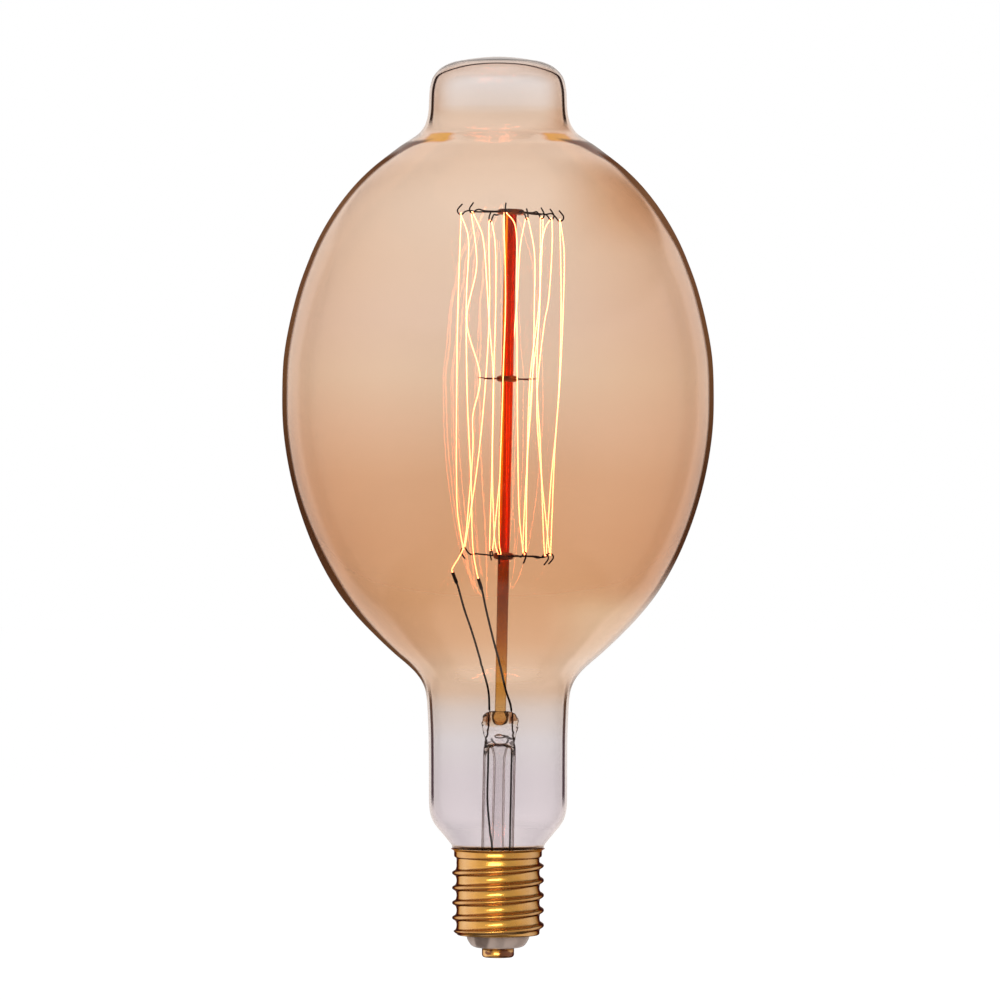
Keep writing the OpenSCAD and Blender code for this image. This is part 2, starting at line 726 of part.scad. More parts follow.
filament_path = concat(
    [left_mouth - left_way * sleeve_l * 0.35, left_mouth, left_mouth + left_way],
    strand_path(0),
    [for (i = [0:lower_count - 1]) each concat(
        half_turn(top_turn(i), top_hooks[i][0], 1),
        strand_path(2 * i + 1),
        half_turn(lower_turn(i), lower_hooks[i][0], -1),
        strand_path(2 * i + 2)
    )],
    half_turn(top_turn(top_count - 1), top_hooks[top_count - 1][0], 1),
    strand_path(2 * top_count - 1),
    [right_mouth + right_way, right_mouth, right_mouth - right_way * sleeve_l * 0.35]
);

module filament() {
    color([1, 0.75, 0.3])
        on_stem()
            wire(filament_path, filament_r);
}

module sleeve(mouth, way) {
    foot = mouth - way * sleeve_l;
    color([0.1, 0.08, 0.07])
        on_stem()
            difference() {
                bar(foot, mouth, sleeve_d / 2);
                bar(foot - way, mouth + way, inner_lead_d / 2 + slip);
            }
}

module left_sleeve() {
    sleeve(left_mouth, left_way);
}

module right_sleeve() {
    sleeve(right_mouth, right_way);
}

// A lead leaves its seal wire, follows its bends and ends halfway up its sleeve
module inner_lead(seal_top, bends, mouth, way) {
    color([0.15, 0.12, 0.11])
        on_stem()
            wire(concat(
                [seal_top + [0, 0, end_gap]],
                bends,
                [mouth - way * (sleeve_l + 1), mouth - way * sleeve_l, mouth - way * sleeve_l * 0.45]
            ), inner_lead_d / 2, 8);
}

module left_inner_lead() {
    inner_lead(left_seal_top, left_bends, left_mouth, left_way);
}

module right_inner_lead() {
    inner_lead(right_seal_top, right_bends, right_mouth, right_way);
}

// The contact lead hangs beside the exhaust tube, passes its tip and drops to the solder
module contact_lead() {
    hang_x = right_wire_x + 0.1;
    thick_end = [hang_x - 1, 0, exhaust_tip_z - 1.5];
    color([0.55, 0.42, 0.3])
        union() {
            wire(concat(
                [for (z = [pinch_z - end_gap, pinch_z - 25, flare_z + 16, flare_z]) stem_point([hang_x, 0, z])],
                [thick_end]
            ), outer_lead_d / 2, 8);
            wire([
                thick_end + [0, 0, outer_lead_d / 2],
                [2, 0, insulator_top_z + 2.6],
                [0.4, 0, insulator_top_z + 1.2],
                [0, 0, insulator_top_z - 0.5],
                [0, 0, solder_depth / 2 + end_gap]
            ], contact_wire_r, 8);
        }
}

// The side lead leaves the stem, turns to the back, climbs between the tube and the shell
// and bends over the lip into a bead of solder on the collar
gap_r = (tube_r + thread_root_r - shell_wall) / 2;
bead_r = 1.6;
bead_place = [0, collar_r + 0.3, cap_h - flare_out - 1.2];
side_end = bead_place + [0, 0.45, 0.5];

module side_lead() {
    under_z = flare_z - 4.5;
    thick_end = [-2.4, 6, under_z];
    side_r = side_wire_d / 2;
    over_z = cap_h + side_r + 0.03;
    color([0.55, 0.42, 0.3])
        union() {
            wire(concat(
                [stem_point([-left_wire_x - wire_lean / 2 + 0.1, 0, pinch_z - end_gap])],
                [stem_point([-left_wire_x, 0, pinch_z - 24])],
                [for (z = [flare_z + 20, flare_z + 9, flare_z + 2]) stem_point([-2.3, -3.2, z])],
                [[-4.6, -1.5, under_z + 2.5], [-4.4, 2.5, under_z + 0.4], thick_end]
            ), outer_lead_d / 2, 8);
            wire([
                thick_end - [0, outer_lead_d / 3, 0],
                [-0.8, 11, under_z],
                [0, gap_r - 2.2, under_z + 0.3],
                [0, gap_r - 0.4, under_z + 1.4],
                [0, gap_r, under_z + 3],
                [0, gap_r, collar_foot_z],
                [0, collar_r - shell_wall - 0.7, cap_h - flare_out - 0.8],
                [0, collar_r - shell_wall + 0.35, cap_h - 0.25],
                [0, lip_r - 0.5, over_z],
                [0, lip_r + 0.1, over_z],
                [0, lip_r + 0.35, cap_h - 0.2],
                [0, lip_r + 0.2, cap_h - 0.8],
                side_end
            ], side_r, 6);
        }
}

// The bead is cut to the collar and the lip, and has a tunnel for the side lead's end
module side_solder() {
    tunnel_r = side_wire_d / 2 + 2 * slip;
    color([0.72, 0.7, 0.66])
        difference() {
            translate(bead_place)
                sphere(r = bead_r, $fn = 48);
            rotate_extrude($fn = 96)
                polygon([
                    [0, collar_foot_z - 3],
                    [collar_r + slip, collar_foot_z - 3],
                    [collar_r + slip, cap_h - flare_out - slip],
                    [lip_r + 0.2, cap_h - 0.45],
                    [lip_r + 2, cap_h - 0.45],
                    [lip_r + 2, cap_h + 2],
                    [0, cap_h + 2]
                ]);
            bar(side_end - [0, end_gap, end_gap], [0, lip_r + 0.2, cap_h - 0.6], tunnel_r);
            bar([0, lip_r + 0.2, cap_h - 0.9], [0, lip_r + 0.3, cap_h + 0.2], tunnel_r);
        }
}

module capping_cement() {
    inner_r = tube_r + cement_gap;
    thread_side_r = (thread_root_r - shell_wall) * cos(180 / shell_sides) - cement_gap;
    collar_side_r = (collar_r - shell_wall) * cos(180 / shell_sides) - cement_gap;
    cement_h = 11;
    slot_w = side_wire_d + 2 * cement_gap;
    color([0.85, 0.82, 0.76])
        difference() {
            rotate_extrude($fn = 96)
                polygon([
                    [inner_r, step_z - cement_h],
                    [thread_side_r, step_z - cement_h],
                    [thread_side_r, collar_foot_z + shell_wall + 0.2],
                    [collar_side_r, collar_foot_z + shell_wall + 0.6],
                    [collar_side_r, step_z - 0.4],
                    [inner_r, step_z - 0.2]
                ]);
            translate([-slot_w / 2, 0, 0])
                cube([slot_w, lip_r, cap_h]);
        }
}

bulb_glass();
stem_flare();
pinch_seal();
exhaust_tube();
centre_rod();
top_button();
middle_collar();
lower_collar();
filament();
for (i = [1:top_count])
    top_hook(i - 1);
for (i = [1:middle_count])
    middle_wire(i - 1);
for (i = [1:lower_count])
    lower_hook(i - 1);
left_inner_lead();
right_inner_lead();
left_sleeve();
right_sleeve();
left_seal_wire();
right_seal_wire();
side_lead();
contact_lead();
cap_shell();
cap_insulator();
centre_contact();
contact_solder();
side_solder();
capping_cement();
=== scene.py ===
import math

import bpy
import numpy as np
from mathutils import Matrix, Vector


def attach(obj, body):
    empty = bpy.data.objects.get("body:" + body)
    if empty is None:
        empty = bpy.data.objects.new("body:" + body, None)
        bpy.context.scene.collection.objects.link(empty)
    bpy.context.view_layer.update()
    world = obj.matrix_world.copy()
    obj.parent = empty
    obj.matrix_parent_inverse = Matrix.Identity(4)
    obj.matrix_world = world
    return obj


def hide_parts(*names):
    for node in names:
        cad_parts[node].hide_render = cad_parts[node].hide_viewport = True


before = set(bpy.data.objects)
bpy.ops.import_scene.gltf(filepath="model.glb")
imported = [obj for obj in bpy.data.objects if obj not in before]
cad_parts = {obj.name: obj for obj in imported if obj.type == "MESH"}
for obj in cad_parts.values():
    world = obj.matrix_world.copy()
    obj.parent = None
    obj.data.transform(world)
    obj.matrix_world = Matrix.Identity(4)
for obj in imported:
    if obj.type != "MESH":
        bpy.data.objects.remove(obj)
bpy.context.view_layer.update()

mm = 0.001
print("frame loaded:", len(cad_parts), "nodes")


# small helpers for node trees

class Sock:  # wraps a socket, so that shader maths reads as Python
    def __init__(self, work, socket):
        self.work = work
        self.socket = socket

    def out(self, name):  # another output of the same node
        return Sock(self.work, self.socket.node.outputs[name])

    def __add__(self, other):
        return self.work.maths("ADD", self, other)

    def __radd__(self, other):
        return self.work.maths("ADD", other, self)

    def __sub__(self, other):
        return self.work.maths("SUBTRACT", self, other)

    def __rsub__(self, other):
        return self.work.maths("SUBTRACT", other, self)

    def __mul__(self, other):
        return self.work.maths("MULTIPLY", self, other)

    def __rmul__(self, other):
        return self.work.maths("MULTIPLY", other, self)

    def __truediv__(self, other):
        return self.work.maths("DIVIDE", self, other)

    def __pow__(self, other):
        return self.work.maths("POWER", self, other)


class NodeWork:  # adds nodes to one tree
    def __init__(self, tree):
        self.tree = tree

    def node(self, kind, settings=None, inputs=None, out=0):
        made = self.tree.nodes.new(kind)
        for key, value in (settings or {}).items():
            if key == "stops":
                self.setStops(made.color_ramp, value)
            else:
                setattr(made, key, value)
        for key, value in (inputs or {}).items():
            self.feed(made.inputs[key], value)
        return Sock(self, made.outputs[out]) if made.outputs else made

    def feed(self, target, value):
        if isinstance(value, Sock):
            self.tree.links.new(value.socket, target)
        elif target.type == "RGBA" and len(value) == 3:
            target.default_value = (*value, 1)
        else:
            target.default_value = value

    def setStops(self, ramp, stops):
        while len(ramp.elements) < len(stops):
            ramp.elements.new(0.5)
        for element, (place, colour) in zip(ramp.elements, stops):
            element.position = place
            element.color = (*colour, 1)

    def maths(self, operation, first, second=0.0):
        return self.node("ShaderNodeMath", {"operation": operation}, {0: first, 1: second})

    def share(self, value, low, high, kind="SMOOTHSTEP"):  # 0 up to low, 1 from high on
        return self.node("ShaderNodeMapRange", {"interpolation_type": kind},
                         {"Value": value, "From Min": low, "From Max": high})

    def within(self, value, rise, fall):  # rises to 1 over the first stretch, and falls back over the second
        return self.share(value, *rise) * (1 - self.share(value, *fall))

    def blend(self, factor, first, second):
        return self.node("ShaderNodeMix", {"data_type": "RGBA"}, {0: factor, 6: first, 7: second}, out=2)

    def stain(self, colour, factor, tone):  # colour times tone, as far as factor says
        return self.node("ShaderNodeMix", {"data_type": "RGBA", "blend_type": "MULTIPLY"},
                         {0: factor, 6: colour, 7: tone}, out=2)

    def axes(self, vector, scale=1000):  # x, y and z, in mm unless told otherwise
        parts = [self.node("ShaderNodeSeparateXYZ", inputs={"Vector": vector}, out=axis) for axis in "XYZ"]
        return parts if scale == 1 else [part * scale for part in parts]

    def facing(self):  # 0 where the surface faces the viewer, 1 where it turns edge-on
        return self.node("ShaderNodeLayerWeight", inputs={"Blend": 0.5}, out="Facing")

    def noise(self, place, scale, detail=2.0, stretch=(1, 1, 1)):
        turned = self.node("ShaderNodeMapping", inputs={"Vector": place, "Scale": stretch})
        return self.node("ShaderNodeTexNoise", inputs={"Vector": turned, "Scale": scale, "Detail": detail},
                         out="Fac")

    def ramp(self, value, stops):
        return self.node("ShaderNodeValToRGB", {"stops": stops}, {"Fac": value})

    def byHeight(self, z, look):  # the two colours that a look gives for each height
        heights = sorted(look)
        foot, top = heights[0], heights[-1]
        place = self.share(z, foot, top, "LINEAR")
        return [self.ramp(place, [((h - foot) / (top - foot), look[h][i]) for h in heights]) for i in (0, 1)]

    def bump(self, height, strength, distance):
        return self.node("ShaderNodeBump",
                         inputs={"Strength": strength, "Distance": distance, "Height": height})

    def principled(self, **inputs):  # a socket's name is written without its spaces
        shade = self.node("ShaderNodeBsdfPrincipled")
        sockets = {socket.name.replace(" ", ""): socket for socket in shade.socket.node.inputs}
        for name, value in inputs.items():
            self.feed(sockets[name], value)
        return shade

    def close(self, shade, kind="Material"):
        self.node("ShaderNodeOutput" + kind, inputs={"Surface": shade})


def rgb(red, green, blue):  # a screen colour, 0 to 255, as linear light
    def linear(value):
        value /= 255
        return value / 12.92 if value <= 0.04045 else ((value + 0.055) / 1.055) ** 2.4
    return (linear(red), linear(green), linear(blue))


def roundTurns(count):  # the angles of a closed ring's points
    return np.linspace(0, 2 * math.pi, count + 1)[:-1]


def newMaterial(name):
    material = bpy.data.materials.new(name)
    material.use_nodes = True
    material.node_tree.nodes.clear()
    work = NodeWork(material.node_tree)
    return material, work, work.node("ShaderNodeTexCoord", out="Object")


# light, camera and floor

cameraSizes = {"distance": 2.5, "aimX": 0.00085, "aimZ": 0.1943,
               "frameWidth": 0.425, "sensor": 36, "bounces": 20}
scene = bpy.context.scene
scene.view_settings.view_transform = "Standard"
cameraData = bpy.data.cameras.new("camera")
cameraData.sensor_width = cameraSizes["sensor"]
cameraData.lens = cameraSizes["sensor"] * cameraSizes["distance"] / cameraSizes["frameWidth"]
cameraData.clip_end = 50
camera = bpy.data.objects.new("camera", cameraData)
camera.location = (cameraSizes["aimX"], -cameraSizes["distance"], cameraSizes["aimZ"])
camera.rotation_euler = (math.radians(90), 0, 0)
scene.collection.objects.link(camera)
scene.camera = camera
scene.cycles.max_bounces = cameraSizes["bounces"]  # rays cross up to sixteen glass surfaces
scene.cycles.transmission_bounces = cameraSizes["bounces"]

studio = {  # how bright the surroundings look in the glass and the metal
    # by degrees from straight behind
    "around": {0: 0.95, 20: 0.88, 32: 0.74, 44: 0.64, 50: 0.28, 60: 0.22,
               66: 0.34, 115: 0.30, 150: 0.05, 180: 0.03},
    "boxTop": 21, "boxFoot": -42, "between": 0.08, "floorFrom": -62, "underneath": 0.42,
    "highLeft": 0.36, "highRight": 0.05, "highTurn": (-0.5, 0.3), "ceiling": 0.3, "ceilingRise": (0.75, 0.97),
    "highBehind": 0.85, "behindRise": (0.3, 0.6), "behindAside": (0.25, 0.5),
    "diffuse": 0.8, "reflected": (1.0, 0.91, 0.86),
}


def makeWorld():
    world = bpy.data.worlds.new("studio")
    scene.world = world
    world.use_nodes = True
    world.node_tree.nodes.clear()
    work = NodeWork(world.node_tree)
    light = work.node("ShaderNodeLightPath", out="Is Camera Ray")
    x, y, z = work.axes(work.node("ShaderNodeTexCoord", out="Generated"), 1)
    aside = work.maths("ABSOLUTE", x)
    stops = [(degrees / 180, (level, level, level)) for degrees, level in sorted(studio["around"].items())]
    level = work.ramp(work.maths("ARCTAN2", aside, y) / math.pi, stops)
    top, foot, floor = [math.sin(math.radians(studio[name])) for name in ("boxTop", "boxFoot", "floorFrom")]
    isHigh = work.share(z, top - 0.03, top + 0.05)
    isLow = 1 - work.share(z, foot - 0.04, foot + 0.04)
    high = (studio["highLeft"]
            + work.share(x, *studio["highTurn"]) * (studio["highRight"] - studio["highLeft"]))
    high = high + work.share(z, *studio["ceilingRise"]) * (studio["ceiling"] - high)
    behind = work.share(y, *studio["behindRise"]) * (1 - work.share(aside, *studio["behindAside"]))
    high = high + behind * (studio["highBehind"] - high)
    low = work.share(z, floor - 0.03, floor + 0.03) * (studio["underneath"] - studio["between"])
    low = studio["underneath"] - low
    level = level * (1 - isHigh) * (1 - isLow) + high * isHigh + low * isLow
    bounced = work.maths("GREATER_THAN", light.out("Glossy Depth"), 0.5)
    white = work.maths("MAXIMUM", light, light.out("Is Transmission Ray") * (1 - bounced))
    plain = work.maths("MAXIMUM", white, light.out("Is Diffuse Ray") * studio["diffuse"])
    colour = work.blend(bounced * (1 - plain), (1, 1, 1), studio["reflected"])
    strength = plain + (1 - plain) * bounced * level
    work.close(work.node("ShaderNodeBackground", inputs={"Color": colour, "Strength": strength}), "World")


makeWorld()

# soft boxes that only the metal of the cap sees: degrees from straight behind to the right, and brightness
capBoxes = {
    "leftSide": (-62, 0.80), "leftFront": (-100, 0.72), "frontLeft": (-138, 0.64), "front": (-176, 0.60),
    "frontRight": (146, 0.50), "rightFront": (108, 0.46), "rightSide": (70, 0.50),
    "bright": (-172, 8.0, 0.9, 0.24, 0.08),
}
capOnly = bpy.data.collections.new("capOnly")


def makeBox(name, turn, level, width=0.95, height=2.3, z=0.0, away=1.4):
    lamp = bpy.data.lights.new(name, "AREA")
    lamp.shape = "RECTANGLE"
    lamp.size = width
    lamp.size_y = height
    lamp.energy = level * math.pi * width * height
    way = Vector((math.sin(math.radians(turn)), math.cos(math.radians(turn)), 0))
    placed = bpy.data.objects.new(name, lamp)
    placed.location = way * away + Vector((0, 0, z))
    placed.rotation_euler = way.to_track_quat("Z", "Y").to_euler()
    placed.visible_camera = False
    placed.visible_transmission = False
    placed.light_linking.receiver_collection = capOnly
    scene.collection.objects.link(placed)


for name, box in capBoxes.items():
    makeBox(name, *box)

floorSizes = {"z": -0.06, "radius": 9.0, "sides": 64, "paint": (0.88, 0.88, 0.88),
              "glow": 0.36, "dimmer": 0.062, "dims": (0.5, 3.0)}


def makeFloor():
    ring = [(floorSizes["radius"] * math.cos(a), floorSizes["radius"] * math.sin(a), floorSizes["z"])
            for a in roundTurns(floorSizes["sides"])]
    mesh = bpy.data.meshes.new("floor")
    mesh.from_pydata(ring, [], [list(range(len(ring)))])
    floor = bpy.data.objects.new("floor", mesh)
    scene.collection.objects.link(floor)
    material, work, place = newMaterial("paleFloor")
    light = work.node("ShaderNodeLightPath", out="Is Camera Ray")
    seen = work.maths("MAXIMUM", light, light.out("Is Transmission Ray"))
    bounced = work.maths("GREATER_THAN", light.out("Glossy Depth"), 0.5)
    bounced = work.maths("MAXIMUM", bounced, light.out("Is Shadow Ray"))
    away = work.node("ShaderNodeVectorMath", {"operation": "LENGTH"}, {0: place}, out="Value")
    glow = seen * (floorSizes["glow"] - work.share(away, *floorSizes["dims"]) * floorSizes["dimmer"])
    glow = work.node("ShaderNodeEmission", inputs={"Color": (1, 1, 1), "Strength": glow})
    matt = work.node("ShaderNodeBsdfDiffuse", inputs={"Color": floorSizes["paint"]})
    both = work.node("ShaderNodeAddShader", inputs={0: glow, 1: matt})
    clear = work.node("ShaderNodeBsdfTransparent")  # reflections see the studio, not the floor
    work.close(work.node("ShaderNodeMixShader", inputs={0: bounced, 1: both, 2: clear}))
    mesh.materials.append(material)


makeFloor()
print("light, camera and floor made")


# materials, with heights and other places in mm

def shadeLinedGlass(work, line, share, **glass):  # clear glass, with a dark line of painted shade laid over it
    clear = work.principled(Roughness=0.0, TransmissionWeight=1.0, **glass)
    dark = work.principled(Roughness=1.0, SpecularIORLevel=0.0, BaseColor=line)
    work.close(work.node("ShaderNodeMixShader", inputs={0: share, 1: clear, 2: dark}))


amberGlassLook = {  # at each height: one wall's tint, and the painted dark shade line where the glass turns edge-on
    0: ((0.70, 0.50, 0.30), (0.10, 0.06, 0.07)), 46.8: ((0.70, 0.50, 0.30), (0.10, 0.06, 0.07)),
    48: ((0.885, 0.832, 0.847), (0.10, 0.06, 0.07)), 58: ((0.885, 0.832, 0.847), (0.10, 0.06, 0.07)),
    76: ((0.870, 0.818, 0.833), (0.10, 0.06, 0.07)), 92: ((0.884, 0.842, 0.843), (0.10, 0.055, 0.06)),
    105: ((0.875, 0.795, 0.75), (0.12, 0.06, 0.04)), 113: ((0.875, 0.725, 0.612), (0.16, 0.07, 0.03)),
    122: ((0.943, 0.788, 0.663), (0.18, 0.075, 0.03)), 134: ((0.905, 0.69, 0.525), (0.17, 0.07, 0.025)),
    152: ((0.862, 0.628, 0.448), (0.13, 0.045, 0.015)), 177: ((0.868, 0.628, 0.457), (0.09, 0.028, 0.008)),
    203: ((0.88, 0.655, 0.495), (0.085, 0.026, 0.007)), 224: ((0.91, 0.715, 0.575), (0.12, 0.042, 0.013)),
    247: ((0.93, 0.775, 0.65), (0.17, 0.066, 0.022)), 271: ((0.93, 0.78, 0.675), (0.18, 0.07, 0.025)),
    296: ((0.94, 0.795, 0.685), (0.18, 0.07, 0.028)), 322: ((0.963, 0.835, 0.735), (0.22, 0.095, 0.04)),
    340: ((0.966, 0.835, 0.733), (0.14, 0.05, 0.02)), 352: ((0.944, 0.80, 0.695), (0.035, 0.014, 0.007)),
    359.6: ((0.905, 0.77, 0.665), (0.035, 0.014, 0.007)), 361: ((0.925, 0.83, 0.765), (0.035, 0.014, 0.007)),
    373: ((0.94, 0.885, 0.86), (0.03, 0.012, 0.01)), 384: ((0.94, 0.885, 0.86), (0.03, 0.012, 0.01)),
}
amberShadeLine = {  # where the painted shade line begins and is full as the glass turns away; on knob and neck it ends again
    "body": (0.75, 0.815), "begins": (0.60, 0.655), "ends": (0.715, 0.765), "strength": 0.985,
    "bodyZ": ((108, 120), (338, 346)), "neckZ": (62, 70), "noEndsZ": ((200, 210), (351, 356)),
    "domeZ": (373.5, 377), "beginsLower": 0.14, "endsLower": 0.19,
    "rightX": (0, 30), "wider": 0.06, "widerZ": ((132, 162), (162, 204)),
    "widerRight": 0.035, "rightZ": ((296, 312), (326, 338)),
    "soft": 0.22, "softFacing": (0.60, 0.78), "softZ": ((160, 180), (205, 245)),
    "palerRight": 0.85, "palerZ": ((112, 122), (142, 172)),
}
edgeTint = {  # the coat looks stronger towards the edges
    "body": (0.975, 0.915, 0.86), "bodyFacing": (0.02, 0.62), "bodyZ": (108, 122),
    "knob": (0.925, 0.775, 0.66), "knobFacing": (0.2, 0.6), "knobZ": (344, 354),
    "paleZ": (357, 362), "paleX": (0, 20),  # the knob's foot stays pale on the left
}
unevenCoat = {  # how far to the right, at what heights, and the tint there
    "heavy": ((16, 67), ((294, 324), (331, 345)), (0.925, 0.80, 0.68)),
    "right": ((16, 65), ((200, 260), (400, 410)), (0.98, 0.95, 0.92)),
    "thin": ((16, 46), ((112, 125), (144, 160)), (1.10, 1.24, 1.38)),
}
shoulderLightShade = {  # painted light and shade: the fillet under the knob shows pale patches to both sides, and dark wings of shade beyond them
    "pale": (0.80, 0.32, 0.001), "paleZ": ((343.8, 345.0), (348.2, 349.4)),
    "paleFacing": ((0.55, 0.59), (0.70, 0.75)),
    "dark": (0.06, 0.009, 0.001), "darkZ": ((334.0, 337.0), (345.0, 346.6)),
    "darkFacing": 0.625, "topZ": 345.8, "rise": 0.0165, "leftLater": 0.035, "leftX": (-10, 10),
    "edge": (-0.02, 0.035), "darkShare": 0.45,
}

coatNoise = {  # scale and detail, and how far each noise moves the marks, up in mm or round
    "broad": (6, 1), "broadUp": 6, "fine": (45, 2), "fineUp": 2.5, "fineRound": 0.05,
}


def makeAmberGlass():
    material, work, place = newMaterial("amberGlass")
    x, y, z = work.axes(place)
    facing = work.facing()
    drift = work.noise(place, *coatNoise["broad"]) - 0.5
    patches = work.noise(place, *coatNoise["fine"]) - 0.5
    outer = 1 - work.node("ShaderNodeAttribute", {"attribute_name": "innerWall"}, out="Fac")
    outer = outer * (1 - work.node("ShaderNodeNewGeometry", out="Backfacing"))
    tint, line = work.byHeight(z + drift * coatNoise["broadUp"], amberGlassLook)
    for side, heights, tone in unevenCoat.values():
        tint = work.stain(tint, work.share(x, *side) * work.within(z, *heights), tone)

    # painted light and shade in the fillet under the knob, where it turns away
    up = z + patches * coatNoise["fineUp"]
    turned = facing + patches * coatNoise["fineRound"]
    pale = work.within(up, *shoulderLightShade["paleZ"]) * work.within(turned, *shoulderLightShade["paleFacing"])
    begins = shoulderLightShade["darkFacing"] + (shoulderLightShade["topZ"] - z) * shoulderLightShade["rise"]
    begins = begins + (1 - work.share(x, *shoulderLightShade["leftX"])) * shoulderLightShade["leftLater"]
    dark = work.share(turned - begins, *shoulderLightShade["edge"]) * work.within(up, *shoulderLightShade["darkZ"])
    tint = work.stain(tint, pale * outer, shoulderLightShade["pale"])
    tint = work.stain(tint, dark * outer, shoulderLightShade["dark"])
    onKnob = work.share(z, *edgeTint["knobZ"])
    onBody = work.share(z, *edgeTint["bodyZ"]) * (1 - onKnob)
    tint = work.stain(tint, work.share(facing, *edgeTint["bodyFacing"]) * onBody, edgeTint["body"])
    spared = (1 - work.share(z, *edgeTint["paleZ"])) * (1 - work.share(x, *edgeTint["paleX"]))
    tint = work.stain(tint, work.share(facing, *edgeTint["knobFacing"]) * onKnob * (1 - spared),
                      edgeTint["knob"])

    # painted shade: a dark line where the glass turns edge-on, and a softer band of shade beside it
    right = work.share(x, *amberShadeLine["rightX"])
    wide = work.within(z, *amberShadeLine["widerZ"]) * (1 - right) * amberShadeLine["wider"]
    wide = wide + work.within(z, *amberShadeLine["rightZ"]) * right * amberShadeLine["widerRight"]
    dome = work.share(z, *amberShadeLine["domeZ"])
    narrow = work.share(facing + dome * amberShadeLine["beginsLower"], *amberShadeLine["begins"])
    narrow = narrow * (1 - work.share(facing + dome * amberShadeLine["endsLower"], *amberShadeLine["ends"]))
    narrow = narrow * work.share(z, *amberShadeLine["neckZ"]) * (1 - work.within(z, *amberShadeLine["noEndsZ"]))
    paler = right * work.within(z, *amberShadeLine["palerZ"]) * amberShadeLine["palerRight"]
    broad = work.share(facing + wide, *amberShadeLine["body"]) * (1 - paler)
    edge = narrow + work.within(z, *amberShadeLine["bodyZ"]) * (broad - narrow)
    soft = (work.share(facing + wide, *amberShadeLine["softFacing"])
            * work.within(z, *amberShadeLine["softZ"]) * amberShadeLine["soft"])
    edge = work.maths("MAXIMUM", edge, work.maths("MAXIMUM", soft, dark * shoulderLightShade["darkShare"])) * outer
    shadeLinedGlass(work, line, edge * amberShadeLine["strength"], IOR=1.5, BaseColor=tint)
    return material


stemGlassLook = {
    "clear": (1.0, 0.99, 0.992), "amber": (0.90, 0.72, 0.50), "amberZ": (98.6, 99.8),
    "side": (0.30, 0.12, 0.05), "sideAway": ((3.6, 4.0), (5.7, 6.2)),  # the dome is darker to both sides
    # painted shade: a darker contour and a dark line where the glass turns edge-on
    "contour": (0.10, 0.045, 0.04), "contourFacing": (0.45, 0.98),
    "lineFacing": (0.62, 0.82), "lineOnTube": 0.85, "lineOnPinch": 0.95, "tubeLine": (0.16, 0.07, 0.08),
    "pinchLine": (0.03, 0.012, 0.008),
    "pinchZ": (88, 92), "ripple": (420, 1),
    # the pressed glass shows arcs round the bubble, and one slanting line
    "middle": (0.9, 93.4), "marks": 0.85, "frontY": (-1, 0),
    "arcR": 3.5, "arcWidth": (0.2, 0.6), "arcFoot": (-0.6, 0.4),
    "slope": 0.45, "slantUp": 1.7, "slantWidth": (0.35, 0.9),
    "slantAcross": ((1.2, 2.0), (5.6, 6.4)), "slantEnds": (6.2, 7.0),
}


def makeStemGlass():
    look = stemGlassLook
    material, work, place = newMaterial("stemGlass")
    x, y, z = work.axes(place)
    facing = work.facing()
    patches = work.noise(place, 160) - 0.5
    middleX, middleZ = look["middle"]
    aside = work.maths("ABSOLUTE", x - middleX + patches * 2)
    dome = work.blend(work.within(aside, *look["sideAway"]), look["amber"], look["side"])
    colour = work.blend(work.share(z + patches * 6, *look["amberZ"]), look["clear"], dome)
    # painted shade at the edges, where the glass turns edge-on
    colour = work.stain(colour, work.share(facing, *look["contourFacing"]), look["contour"])
    pressed = work.share(z, *look["pinchZ"])
    onTube, onPinch = look["lineOnTube"], look["lineOnPinch"]
    line = (work.share(facing, *look["lineFacing"])
            * (1 - work.node("ShaderNodeNewGeometry", out="Backfacing")))
    line = line * (onTube + pressed * (onPinch - onTube))
    flow = x - middleX + patches * 2.5
    fall = z - middleZ + patches * 2.5
    away = (flow * flow + fall * fall) ** 0.5
    ring = work.maths("ABSOLUTE", away - look["arcR"])
    arcs = (1 - work.share(ring, *look["arcWidth"])) * (1 - work.share(fall, *look["arcFoot"]))
    slant = work.maths("ABSOLUTE", fall + flow * look["slope"] - look["slantUp"])
    slant = ((1 - work.share(slant, *look["slantWidth"])) * work.within(flow, *look["slantAcross"])
             * (1 - work.share(away, *look["slantEnds"])))
    front = 1 - work.share(y, *look["frontY"])
    marks = work.maths("MAXIMUM", arcs, slant) * front * pressed * look["marks"]
    paint = work.blend(pressed, look["tubeLine"], look["pinchLine"])
    ripple = work.bump(work.noise(place, *look["ripple"]), pressed * 0.5, 0.0006)
    shadeLinedGlass(work, paint, work.maths("MAXIMUM", line, marks), IOR=1.45, BaseColor=colour, Normal=ripple)
    return material


stem = {"leanDegrees": 1.2, "shift": 0.6, "footZ": 27.6}  # it carries all that is inside the bulb
leanCos = math.cos(math.radians(stem["leanDegrees"]))
leanSin = math.sin(math.radians(stem["leanDegrees"]))

rodGlassLook = {  # what one crossing lets through, and the painted glow of the filament's light, at each height
    96: ((0.80, 0.52, 0.24), (0, 0, 0)), 108: ((0.80, 0.50, 0.18), (0, 0, 0)),
    118: ((0.70, 0.40, 0.06), (0, 0, 0)), 135: ((0.42, 0.15, 0.003), (0, 0, 0)),
    150: ((0.26, 0.07, 0.002), (0.005, 0.001, 0)),
    164: ((0.26, 0.05, 0.001), (0.02, 0.002, 0)), 172: ((0.40, 0.025, 0.0005), (0.07, 0.003, 0)),
    190: ((0.46, 0.022, 0.0002), (0.10, 0.006, 0)), 228: ((0.50, 0.024, 0.0002), (0.15, 0.011, 0)),
    245: ((0.44, 0.018, 0.0002), (0.10, 0.006, 0)), 300: ((0.34, 0.015, 0.0002), (0.06, 0.004, 0)),
    318: ((0.25, 0.015, 0.001), (0.02, 0, 0)),
}
